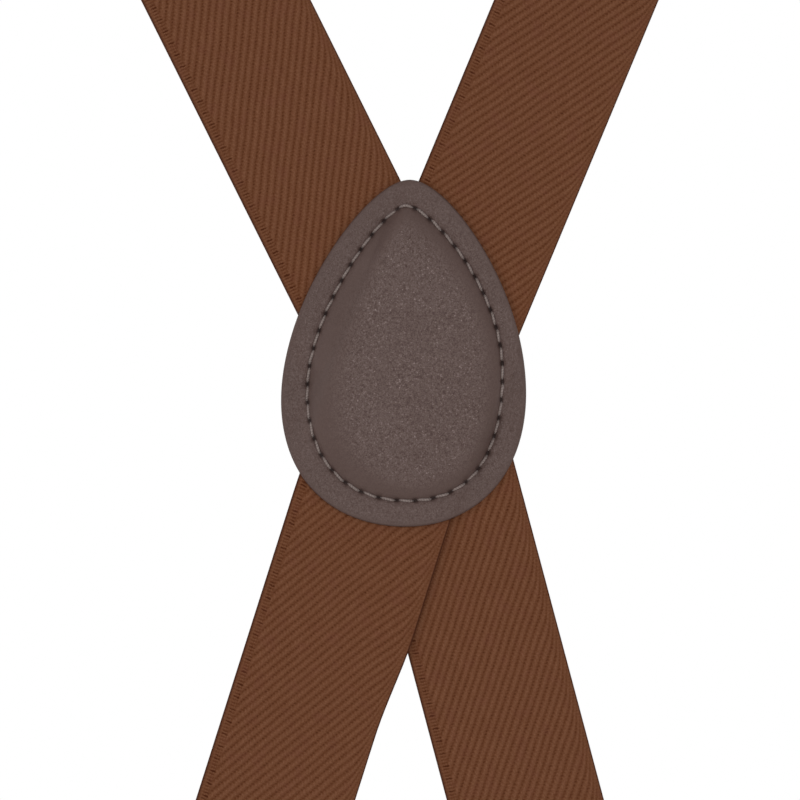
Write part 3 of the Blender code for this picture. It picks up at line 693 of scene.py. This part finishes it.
def flare(start, end):
    """Side-path points of a smooth step, without its first point."""
    return [
        (start[0] + (end[0] - start[0]) * smooth(t, 0, 1), start[1] + (end[1] - start[1]) * t)
        for t in [i / FLARE_STEPS for i in range(1, FLARE_STEPS + 1)]]


def straight(start, end):
    """Side-path points of a straight run, without its first point."""
    count = max(1, math.ceil((Vector(end) - Vector(start)).length / STATION_STEP))
    return [tuple(Vector(start).lerp(Vector(end), i / count)) for i in range(1, count + 1)]


# ---- webbing

EDGE_ROUND = 0.4 * MM
EDGE_STEPS = 6  # of the half circle at each edge
EDGE_THICK = 0.50  # the selvedge's thickness, as a share of the middle's
SELVEDGE = 3 * MM  # over this much the webbing thins towards its edge
SECTION_CELLS = 26


def webbing_section():
    """Closed outline of the strap's cross-section: (across, outward) pairs, with round edges."""
    half = STRAP_WIDTH / 2
    inner = half - EDGE_ROUND

    def thickness(across):
        share = EDGE_THICK + (1 - EDGE_THICK) * smooth(half - abs(across), 0, SELVEDGE)
        return STRAP_THICK / 2 * share

    def edge(middle, start):
        high = thickness(inner)
        angles = [start - math.pi * i / EDGE_STEPS for i in range(1, EDGE_STEPS)]
        return [(middle + EDGE_ROUND * math.cos(a), high * math.sin(a)) for a in angles]

    top = [-inner + 2 * inner * i / SECTION_CELLS for i in range(SECTION_CELLS + 1)]
    outline = [(x, thickness(x)) for x in top] + edge(inner, math.pi / 2)
    return outline + [(x, -thickness(x)) for x in reversed(top)] + edge(-inner, -math.pi / 2)


SECTION = webbing_section()


def make_cloth(name, stations):
    """Webbing swept through its cross-sections; the UV map is across and along it, in metres."""
    bm = bmesh.new()
    uv_layer = bm.loops.layers.uv.new("cloth")
    rows = [[bm.verts.new(place(*point)) for point in SECTION] for _, place in stations]
    count = len(SECTION)
    for row in range(len(rows) - 1):
        for i in range(count):
            j = (i + 1) % count
            face = bm.faces.new((rows[row][i], rows[row][j], rows[row + 1][j], rows[row + 1][i]))
            face.smooth = True
            corners = ((i, row), (j, row), (j, row + 1), (i, row + 1))
            for loop, (across, along) in zip(face.loops, corners):
                loop[uv_layer].uv = (SECTION[across][0], stations[along][0])
    for row in (0, -1):
        cap = bm.faces.new(rows[row])
        for loop, point in zip(cap.loops, SECTION):
            loop[uv_layer].uv = (point[0], stations[row][0])
    piece = finish_piece(name, bm, WEBBING)
    return piece


def spaced(low, high):
    count = max(1, math.ceil((high - low) / STATION_STEP))
    return [low + (high - low) * i / count for i in range(count + 1)]


UNDER_PATCH = 6 * MM  # the strap's two pieces overlap by this, hidden by the leather
PAST_ARCH = 500 * MM  # along the strap from the arch, which is well down its front
LOOP_JOIN = 1 * MM  # from a flat run's last cross-section to the loop's first
HIDDEN_OVERLAP = 0.2 * MM  # of a return layer's ends with the pieces that it runs into


def make_front_cloth(name, strap):
    """From under the patch over the shoulder, down the front and round the clip's bar."""
    bar = joint_place(f"front_{name}_clip_swivel")
    low_down = strap["arch"] + PAST_ARCH
    to_bar = low_down + strap_point(strap, low_down, 0).z - bar.z
    stations = [flat_station(strap, s) for s in spaced(-UNDER_PATCH, to_bar - LOOP_JOIN)]
    loop_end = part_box(f"{name}_strap_return")[0].z - bar.z
    path = arc(-math.pi) + straight((-LOOP_RADIUS, 0), (-LOOP_RADIUS, loop_end))
    stations += loop_stations(bar, X_AXIS, Y_AXIS, Z_AXIS, to_bar, 1, path)
    length = stations[-1][0] - stations[0][0]
    piece = make_cloth(f"{name}_webbing_shoulder_and_front", stations)
    hinge = joint_place(f"{name}_front_flex")
    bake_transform(piece)
    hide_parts(f"{name}_strap_back", f"{name}_strap_front")
    return stations[-1][0]


def make_tail_cloth(name, strap):
    """From under the patch down to the rear clip, round its bar and back up as a sewn tab."""
    bar = joint_place(f"back_{strap['hip']}_clip_swivel")
    up = heading(strap["side"], strap["lean_down"])
    right = Vector((up.z, 0, -up.x))
    lengths = spaced(-TAIL_LENGTH + LOOP_JOIN, UNDER_PATCH)
    stations = [flat_station(strap, s) for s in reversed(lengths)]
    inner = LOOP_RADIUS - LAYER_PITCH
    path = arc(-math.pi)
    path += flare((-LOOP_RADIUS, 0), (inner, FLARE_LENGTH))
    path += straight((inner, FLARE_LENGTH), (inner, TAB_LENGTH))
    stations += loop_stations(bar, right, -Y_AXIS, up, -TAIL_LENGTH, -1, path)
    length = stations[0][0] - stations[-1][0]
    piece = make_cloth(f"{name}_webbing_tail", stations)
    hinge = joint_place(f"{name}_tail_flex")
    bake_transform(piece)
    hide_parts(f"{name}_strap_tail")


def make_return_cloth(name, start):
    """The layer behind the front strap, moving with the front strap's body."""
    low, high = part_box(f"{name}_strap_return")
    middle = (low + high) / 2
    overlap = FINE_GAP + HIDDEN_OVERLAP
    stations = []
    for z in spaced(low.z - overlap, high.z + overlap):
        origin = Vector((middle.x, middle.y, z))
        along = start + z - low.z
        stations.append((along, lambda across, out, o=origin: o + X_AXIS * across - Y_AXIS * out))
    piece = make_cloth(f"{name}_webbing_return", stations)
    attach(piece, f"{name}_front")
    travel = joint(f"{name}_slider_slide")["range_m"][1]
    1 - travel / (high.z - low.z)
    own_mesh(piece)
    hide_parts(f"{name}_strap_return")
    return start + high.z - low.z


def make_slider_tab_cloth(name, start):
    """End of the strap, looped over the slider's bar and sewn back on itself."""
    low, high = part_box(f"{name}_slider_tab")
    half = STRAP_THICK / 2
    bar = Vector(((low.x + high.x) / 2, low.y + half + LOOP_RADIUS, high.z - half - LOOP_RADIUS))
    bottom = low.z - bar.z
    near = LAYER_PITCH / 2
    path = [(near, bottom)] + straight((near, bottom), (near, -FLARE_LENGTH))
    path += flare((near, -FLARE_LENGTH), (LOOP_RADIUS, 0))
    path += arc(math.pi)[1:]
    path += flare((-LOOP_RADIUS, 0), (-near, -FLARE_LENGTH))
    path += straight((-near, -FLARE_LENGTH), (-near, bottom))
    stations = loop_stations(bar, X_AXIS, Y_AXIS, Z_AXIS, start, 1, path)
    piece = make_cloth(f"{name}_webbing_slider_tab", stations)
    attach(piece, f"{name}_slider")
    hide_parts(f"{name}_slider_tab")
    length = stations[-1][0] - stations[0][0]


for strap_name, strap in STRAPS.items():
    make_tail_cloth(strap_name, strap)
    loop_end = make_front_cloth(strap_name, strap)
    return_end = make_return_cloth(strap_name, loop_end)
    make_slider_tab_cloth(strap_name, return_end)

# ---- leather patch

CURVE_STEPS = 240  # points of each quarter of a closed curve


def closed_curve(anchors):
    """Points of a closed curve through four anchors at its top, right, bottom and left, in metres."""
    directions = [Vector((1, 0)), Vector((0, -1)), Vector((-1, 0)), Vector((0, 1))]
    points = []
    for index, (place, _, handle_out) in enumerate(anchors):
        next_place, handle_in, _ = anchors[(index + 1) % 4]
        a = Vector(place)
        b = a + directions[index] * handle_out
        d = Vector(next_place)
        c = d - directions[(index + 1) % 4] * handle_in
        for i in range(CURVE_STEPS):
            t = i / CURVE_STEPS
            u = 1 - t
            points.append((a * u ** 3 + b * 3 * u * u * t + c * 3 * u * t * t + d * t ** 3) * MM)
    return np.array([tuple(p) for p in points + points[:1]])


AROUND = 560  # corners of each ring of the leather
STITCH_COUNT = 42


def matched_rings():
    """The outline and the stitch line, point by point: evenly spaced along the stitch line."""
    outline = closed_curve(PATCH_OUTLINE)
    stitches = closed_curve(PATCH_STITCHES)
    length = np.concatenate([[0], np.cumsum(np.linalg.norm(np.diff(stitches, axis=0), axis=1))])
    wanted = np.arange(AROUND) / AROUND * length[-1]
    at = np.arange(len(length))
    index = np.interp(wanted, length, at)
    return [
        np.stack([np.interp(index, at, curve[:, k]) for k in range(2)], 1)
        for curve in (outline, stitches)]


OUTER_RING, STITCH_RING = matched_rings()
PATCH_CENTRE = np.array([-2.4 * MM, 2.0 * MM])
LEATHER_LIFT = 0.15 * MM  # leather over what it lies on
DRAPE = (0.4 * MM, 7 * MM)  # beyond a strap's edge, over which the leather comes down
STACK_PASSES = 26
DISTANCE_PASSES = 160


def rim_ring(share):
    """A ring between the patch's edge, at share 0, and its stitch line, at 1."""
    return OUTER_RING + (STITCH_RING - OUTER_RING) * share


def inner_ring(share):
    """A ring between the stitch line, at share 0, and the patch's centre, at 1."""
    return STITCH_RING + (PATCH_CENTRE - STITCH_RING) * share


def stack_height(points):
    """How far the straps lift the leather at (x, z) points."""
    height = np.full(len(points), LINING_TOP + LEATHER_LIFT)
    for strap in STRAPS.values():
        corner_x, corner_z = strap["corner"]
        rise = points[:, 1] - corner_z
        lean = np.where(rise > 0, strap["lean_up"], strap["lean_down"])
        across = (points[:, 0] - corner_x) * np.cos(lean) - strap["side"] * rise * np.sin(lean)
        beyond = np.abs(across) - STRAP_WIDTH / 2
        on_strap = 1 - smooth(beyond, *DRAPE)
        top = strap["out"] + STRAP_THICK / 2 + LEATHER_LIFT
        height = np.maximum(height, LINING_TOP + (top - LINING_TOP) * on_strap)
    return height


def soften(ring_heights, passes):
    """Leather is too stiff to follow a sharp step, so heights are averaged along each ring."""
    for _ in range(passes):
        ring_heights = (
            np.roll(ring_heights, 1, -1) + 2 * ring_heights + np.roll(ring_heights, -1, -1)) / 4
    return ring_heights


GROOVE_DEPTH = 0.45 * MM
GROOVE_WIDTH = 0.95 * MM
PUFF_HEIGHT = 3.9 * MM
PUFF_SPREAD = 6.5 * MM
HOLE_DEPTH = 0.9 * MM
HOLE_RADIUS = 0.48 * MM
HOLE_STRETCH = 1.7  # a needle hole is this much longer along the stitch line
EDGE_RADIUS = 0.55 * MM
LINING_GROOVE_DEPTH = 0.25 * MM
LINING_HOLE_DEPTH = 0.5 * MM
LINING_CROWN = 0.5
RIPPLE_HEIGHT = 0.10 * MM  # of the dome's uneven foot
RIPPLE_REACH = 6 * MM
CROWN_REACH = (1.5 * MM, 6 * MM)  # from the stitches, where the grain, its painted glints and the painted light on the dome's middle begin and are full
CROWN_SETBACK = 1.2  # how much further off it begins on the left, which leaves the left flank in more painted shade
LEFT_REACH = 20 * MM
# on the rim, painted shade darkens the leather towards its edge, and the grain fades there too
RIM_CROWN = 0.6
RIM_CROWN_REACH = 2 * MM
NEARLY_CENTRE = 0.985
# Where the needle holes are, as fractions of the way round.
HOLE_PLACES = [(i + 0.5) / STITCH_COUNT for i in range(STITCH_COUNT)]
RIM_SHARES = [
    0.0, 0.03, 0.07, 0.12, 0.2, 0.3, 0.4, 0.5, 0.6, 0.68, 0.75, 0.8, 0.85, 0.9, 0.95, 1.0]
DOME_SHARES = [0.012 * i for i in range(1, 13)] + [0.17 + 0.045 * i for i in range(18)]


def ring_point(ring, fraction):
    """The value of a ring's array at a fraction of the way round."""
    place = fraction * AROUND
    low = int(place) % AROUND
    share = place - int(place)
    return ring[low] * (1 - share) + ring[(low + 1) % AROUND] * share


def hole_shade(shape):
    """How much painted shade darkens the leather round its needle holes."""
    return np.clip(shape * 1.6 - 0.3, 0, 1)


def edge_roll(points):
    """How far the leather's rounded edge falls away, and the distance from that edge."""
    from_edge = np.linalg.norm(points - OUTER_RING, axis=1)
    rounding = np.clip(1 - from_edge / EDGE_RADIUS, 0, 1)
    return EDGE_RADIUS * (1 - np.sqrt(1 - rounding ** 2)), from_edge


def hole_shape(points):
    """1 in the middle of each needle hole, falling to 0 around it."""
    shape = np.zeros(len(points))
    for fraction in HOLE_PLACES:
        middle = ring_point(STITCH_RING, fraction)
        ahead = ring_point(STITCH_RING, (fraction + 0.002) % 1) - middle
        ahead = ahead / np.linalg.norm(ahead)
        offset = points - middle
        along = offset @ ahead / HOLE_STRETCH
        beside = offset @ np.array([-ahead[1], ahead[0]])
        shape = np.maximum(shape, np.exp(-(along ** 2 + beside ** 2) / HOLE_RADIUS ** 2))
    return shape


def line_distance(points):
    """Distance of each point from the stitch line."""
    offsets = points[:, None] - STITCH_RING[None, ::2]
    return np.sqrt((offsets ** 2).sum(2).min(1))


def make_patch_leather():
    """Front leather: flat rim, a stitched groove, and a padded dome inside it."""
    rows = [(rim_ring(share), 0) for share in RIM_SHARES]
    rows += [(inner_ring(share), 1) for share in [*DOME_SHARES, NEARLY_CENTRE]]
    bases = soften(np.array([stack_height(row[0]) for row in rows]), STACK_PASSES)
    rng = random.Random(5)
    waves = [(rng.uniform(0, 6.28), rng.choice((3, 5, 7)), rng.uniform(0.3, 1)) for _ in range(4)]
    turn = np.arange(AROUND) / AROUND * 2 * math.pi
    ripple = sum(np.sin(turn * k + phase) * size for phase, k, size in waves) * RIPPLE_HEIGHT
    distances = soften(np.array([line_distance(row[0]) for row in rows]), DISTANCE_PASSES)
    rings = []
    for (points, is_inside), base, from_stitch in zip(rows, bases, distances):
        depth = from_stitch * is_inside
        puff = PUFF_HEIGHT * (1 - np.exp(-depth / PUFF_SPREAD))
        leftward = np.clip((PATCH_CENTRE[0] - points[:, 0]) / LEFT_REACH, 0, 1)
        # painted shade: the flanks, the left one most, get less of the dome's painted light
        crown_with_painted_light = smooth(depth / (1 + CROWN_SETBACK * leftward), *CROWN_REACH)
        groove = GROOVE_DEPTH * np.exp(-(from_stitch / GROOVE_WIDTH) ** 2)
        roll, from_edge = edge_roll(points)
        hole = hole_shape(points)
        wave = ripple * smooth(depth, 0, RIPPLE_REACH) * (1 - crown_with_painted_light)
        height = base + LEATHER_THICK + puff + wave
        height = height - groove - roll * (1 - is_inside) - HOLE_DEPTH * hole
        if not is_inside:
            # painted shade towards the rim's rounded edge
            crown_with_painted_light = RIM_CROWN * smooth(from_edge, 0, RIM_CROWN_REACH)
        rings.append((points, height, hole_shade(hole), crown_with_painted_light))
    under = [rim_ring(share) for share in (0.0, 0.35, 1.0)]
    under += [inner_ring(share) for share in (0.3, 0.6, NEARLY_CENTRE)]
    none = np.zeros(AROUND)
    for points in under:
        rings.insert(0, (points, soften(stack_height(points), STACK_PASSES), none, none))
    piece = rings_to_piece("patch_leather_cover", rings, ("hole", "crown_with_painted_light"), LEATHER)
    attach(piece, "root")
    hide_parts("patch_outer_leather")
    return bases[RIM_SHARES.index(1.0)]


def patch_world(point, height):
    """World place of a patch point (x, z) at a height outward from the lower layer's middle."""
    return Vector((CROSSING.x + point[0], -SHOULDER_RADIUS - height, CROSSING.z + point[1]))


def rings_to_piece(name, rings, shades, material):
    """A closed body from rings that run from the middle of one face to the middle of the other.

    A ring is its points, their heights, and their values of the point attributes named in shades.
    """
    bm = bmesh.new()
    layers = [bm.verts.layers.float.new(shade) for shade in shades]
    rows = []
    for points, heights, *values in rings:
        row = []
        for corner, (point, height) in enumerate(zip(points, heights)):
            vertex = bm.verts.new(patch_world(point, height))
            for layer, value in zip(layers, values):
                vertex[layer] = float(value[corner])
            row.append(vertex)
        rows.append(row)
    for low, high in zip(rows, rows[1:]):
        for i in range(len(low)):
            j = (i + 1) % len(low)
            bm.faces.new((low[i], low[j], high[j], high[i])).smooth = True
    for row in (rows[0], rows[-1]):
        middle = bm.verts.new(sum((v.co for v in row), Vector()) / len(row))
        for layer in layers:
            middle[layer] = row[0][layer]
        for i in range(len(row)):
            bm.faces.new((row[i], row[(i + 1) % len(row)], middle)).smooth = True
    return finish_piece(name, bm, material)


def make_patch_lining():
    """Inner leather, flat against the wearer's back, with the stitches' holes in its face."""
    face = [inner_ring(share) for share in (NEARLY_CENTRE, 0.5, 0.15, 0.06, 0.03)]
    face += [rim_ring(share) for share in (1.0, 0.95, 0.9, 0.8, 0.6, 0.3, 0.1, 0.04, 0.0)]
    back = LINING_TOP - LEATHER_THICK
    rings = []
    crown_with_painted_light = np.full(AROUND, LINING_CROWN)
    for points in face:
        roll, _ = edge_roll(points)
        groove = LINING_GROOVE_DEPTH * np.exp(-(line_distance(points) / GROOVE_WIDTH) ** 2)
        hole = hole_shape(points)
        height = back + roll + groove + LINING_HOLE_DEPTH * hole
        rings.append((points, height, hole_shade(hole), crown_with_painted_light))
    for points in [rim_ring(0.0), rim_ring(0.5), rim_ring(1.0), inner_ring(NEARLY_CENTRE)]:
        rings.append((points, np.full(AROUND, LINING_TOP), np.zeros(AROUND), crown_with_painted_light))
    piece = rings_to_piece("patch_leather_lining", rings, ("hole", "crown_with_painted_light"), LINING)
    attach(piece, "root")
    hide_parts("patch_lining_leather")


PAD_LIFT = 0.1 * MM
PAD_EDGE_THICK = 0.15 * MM
PAD_UNDER_COVER = 0.4 * MM  # the pad's dome is this much lower than the cover's
PAD_SWELL = (2.5 * MM, 12 * MM)  # from the stitches, where the pad's dome begins and is full


def make_patch_padding():
    """Felt pad between the straps and the cover, hidden inside the dome."""
    low = []
    high = []
    for share in (0.16, 0.3, 0.5, 0.75, NEARLY_CENTRE):
        points = inner_ring(share)
        base = stack_height(points) + PAD_LIFT
        swell = (PUFF_HEIGHT - PAD_UNDER_COVER) * smooth(line_distance(points), *PAD_SWELL)
        low.append((points, base))
        high.append((points, base + PAD_EDGE_THICK + swell))
    rings = list(reversed(high)) + low
    piece = rings_to_piece("patch_felt_padding", rings, (), FELT)
    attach(piece, "root")
    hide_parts("patch_padding")


THREAD_SIDES = 8
THREAD_END = 0.78  # the thread's radius at a stitch's ends, as a share


def add_stitch(bm, uv_layer, points, radius):
    """One stitch: a round thread through points, tapering into its holes."""
    rows = []
    length = 0
    count = len(points)
    for index, point in enumerate(points):
        ahead = (points[min(index + 1, count - 1)] - points[max(index - 1, 0)]).normalized()
        side = ahead.cross(Y_AXIS)
        if side.length < 0.1:
            side = ahead.cross(X_AXIS)
        side.normalize()
        rise = side.cross(ahead)
        if index:
            length += (point - points[index - 1]).length
        swell = THREAD_END if index in (0, count - 1) else 1.0
        row = []
        for corner in range(THREAD_SIDES):
            angle = 2 * math.pi * corner / THREAD_SIDES
            offset = side * math.cos(angle) + rise * math.sin(angle)
            row.append(bm.verts.new(point + offset * radius * swell))
        rows.append((row, length))
    for (low, low_length), (high, high_length) in zip(rows, rows[1:]):
        for i in range(THREAD_SIDES):
            j = (i + 1) % THREAD_SIDES
            face = bm.faces.new((low[i], low[j], high[j], high[i]))
            face.smooth = True
            places = ((i, low_length), (i + 1, low_length), (i + 1, high_length), (i, high_length))
            for loop, (corner, along) in zip(face.loops, places):
                loop[uv_layer].uv = (corner / THREAD_SIDES * MM, along)
    for row, _ in (rows[0], rows[-1]):
        bm.faces.new(row)


def stitches_to_piece(name, stitches, radius, material, body):
    bm = bmesh.new()
    uv_layer = bm.loops.layers.uv.new("cloth")
    for points in stitches:
        add_stitch(bm, uv_layer, points, radius)
    piece = finish_piece(name, bm, material)
    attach(piece, body)


PATCH_THREAD_RADIUS = 0.31 * MM
# Heights of a stitch along its run, in millimetres above the surface that it is sewn to.
PATCH_STITCH = (-0.75, -0.1, 0.24, 0.34, 0.36, 0.34, 0.24, -0.1, -0.75)
STITCH_GAP = 0.12  # between a hole and its stitch's end, as a share of the pitch
STITCH_SLANT = (0.10, 0.24)  # millimetres off the line at its ends, to opposite sides
STITCH_LOFT = (0.85, 1.1)
LINING_STITCH_SINK = 0.25 * MM
LINING_STITCH_LOFT = 0.8


def make_patch_stitching(base_at_stitches):
    """Every stitch runs from one needle hole to the next, on the cover and on the lining."""
    rng = random.Random(11)
    cover = []
    lining = []
    for start in HOLE_PLACES:
        slant = rng.uniform(*STITCH_SLANT) * MM
        loft = rng.uniform(*STITCH_LOFT)
        front = []
        back = []
        for step, rise in enumerate(PATCH_STITCH):
            share = step / (len(PATCH_STITCH) - 1)
            fraction = start + (STITCH_GAP + (1 - 2 * STITCH_GAP) * share) / STITCH_COUNT
            point = ring_point(STITCH_RING, fraction % 1)
            outward = ring_point(OUTER_RING, fraction % 1) - point
            outward = outward / np.linalg.norm(outward)
            point = point + outward * slant * (1 - 2 * share)
            base = ring_point(base_at_stitches, fraction % 1)
            height = base + LEATHER_THICK - GROOVE_DEPTH + rise * loft * MM
            front.append(patch_world(point, height))
            height = LINING_TOP - LEATHER_THICK + LINING_STITCH_SINK
            back.append(patch_world(point, height - rise * LINING_STITCH_LOFT * MM))
        cover.append(front)
        lining.append(back)
    for name, stitches in (("cover", cover), ("lining", lining)):
        stitches_to_piece(
            f"patch_stitching_{name}", stitches, PATCH_THREAD_RADIUS, PATCH_THREAD, "root")


base_at_stitches = make_patch_leather()
make_patch_lining()
make_patch_padding()
make_patch_stitching(base_at_stitches)

# ---- stitching on the sewn tabs

TAB_STITCH_PITCH = 2.7 * MM
TAB_THREAD_RADIUS = 0.24 * MM
TAB_STITCH_HALF_WIDTH = 15.5 * MM
TAB_STITCH = (-0.45, 0.02, 0.16, 0.2, 0.16, 0.02, -0.45)
TAB_STITCH_GAP = 0.08  # at each end of a stitch, as a share of the pitch
TAIL_BOX = (12 * MM, 27 * MM)  # the sewn box's ends, above the clip's bar
SLIDER_BOX = (3 * MM, 18 * MM)  # and above the tab's lower end


def box_lines(low, high):
    """A box with a cross in it: lines of (across, along) from low to high along the strap."""
    half = TAB_STITCH_HALF_WIDTH
    corners = [(-half, low), (half, low), (half, high), (-half, high)]
    lines = [(corners[i], corners[(i + 1) % 4]) for i in range(4)]
    return lines + [(corners[0], corners[2]), (corners[1], corners[3])]


def stitch_lines(lines, place):
    """Stitches along each line; place gives a world point from (across, along, rise)."""
    stitches = []
    for start, end in lines:
        first = Vector(start)
        last = Vector(end)
        count = max(1, round((last - first).length / TAB_STITCH_PITCH))
        for index in range(count):
            a = first.lerp(last, (index + TAB_STITCH_GAP) / count)
            b = first.lerp(last, (index + 1 - TAB_STITCH_GAP) / count)
            points = []
            for step, rise in enumerate(TAB_STITCH):
                spot = a.lerp(b, step / (len(TAB_STITCH) - 1))
                points.append(place(spot.x, spot.y, rise * MM))
            stitches.append(points)
    return stitches


def sew_tab(name, body, span, origin, axes, levels):
    """A crossed box of stitches on both faces of a tab.

    axes are across, along and outward from origin; levels are the outer and the inner face.
    """
    across, along, outward = axes
    faces = []
    for level, sign in zip(levels, (1, -1)):
        faces += stitch_lines(box_lines(*span), lambda x, z, rise, lv=level, sg=sign: (
            origin + across * x + along * z + outward * (lv + sg * rise)))
    stitches_to_piece(name, faces, TAB_THREAD_RADIUS, STRAP_THREAD, body)


def make_tab_stitching(name, strap):
    """Sews the tail's tab, and the tab above the slider's bar."""
    half = STRAP_THICK / 2
    bar = joint_place(f"back_{strap['hip']}_clip_swivel")
    up = heading(strap["side"], strap["lean_down"])
    right = Vector((up.z, 0, -up.x))
    levels = (LOOP_RADIUS + half, LOOP_RADIUS - LAYER_PITCH - half)
    sew_tab(
        f"{name}_tail_stitching", f"{name}_tail", TAIL_BOX, bar, (right, up, -Y_AXIS), levels)
    low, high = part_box(f"{name}_slider_tab")
    centre = Vector(((low.x + high.x) / 2, low.y + half + LOOP_RADIUS, low.z))
    levels = (LAYER_PITCH / 2 + half, -LAYER_PITCH / 2 - half)
    sew_tab(
        f"{name}_slider_tab_stitching", f"{name}_slider", SLIDER_BOX, centre,
        (X_AXIS, Z_AXIS, Y_AXIS), levels)


for strap_name, strap in STRAPS.items():
    make_tab_stitching(strap_name, strap)

# ---- hardware from the frame

SLOT_MATERIALS = {"nickel": NICKEL, "steel": STEEL, "nylon": NYLON}


def finish_hardware():
    """Gives each solid that is shown as it is its material."""
    for part in frame["record"]["subparts"]:
        node = frame["nodes"][part["node"]]
        material = SLOT_MATERIALS.get(part["material_slot"])
        if material:
            node.data.materials.clear()
            node.data.materials.append(material)


finish_hardware()
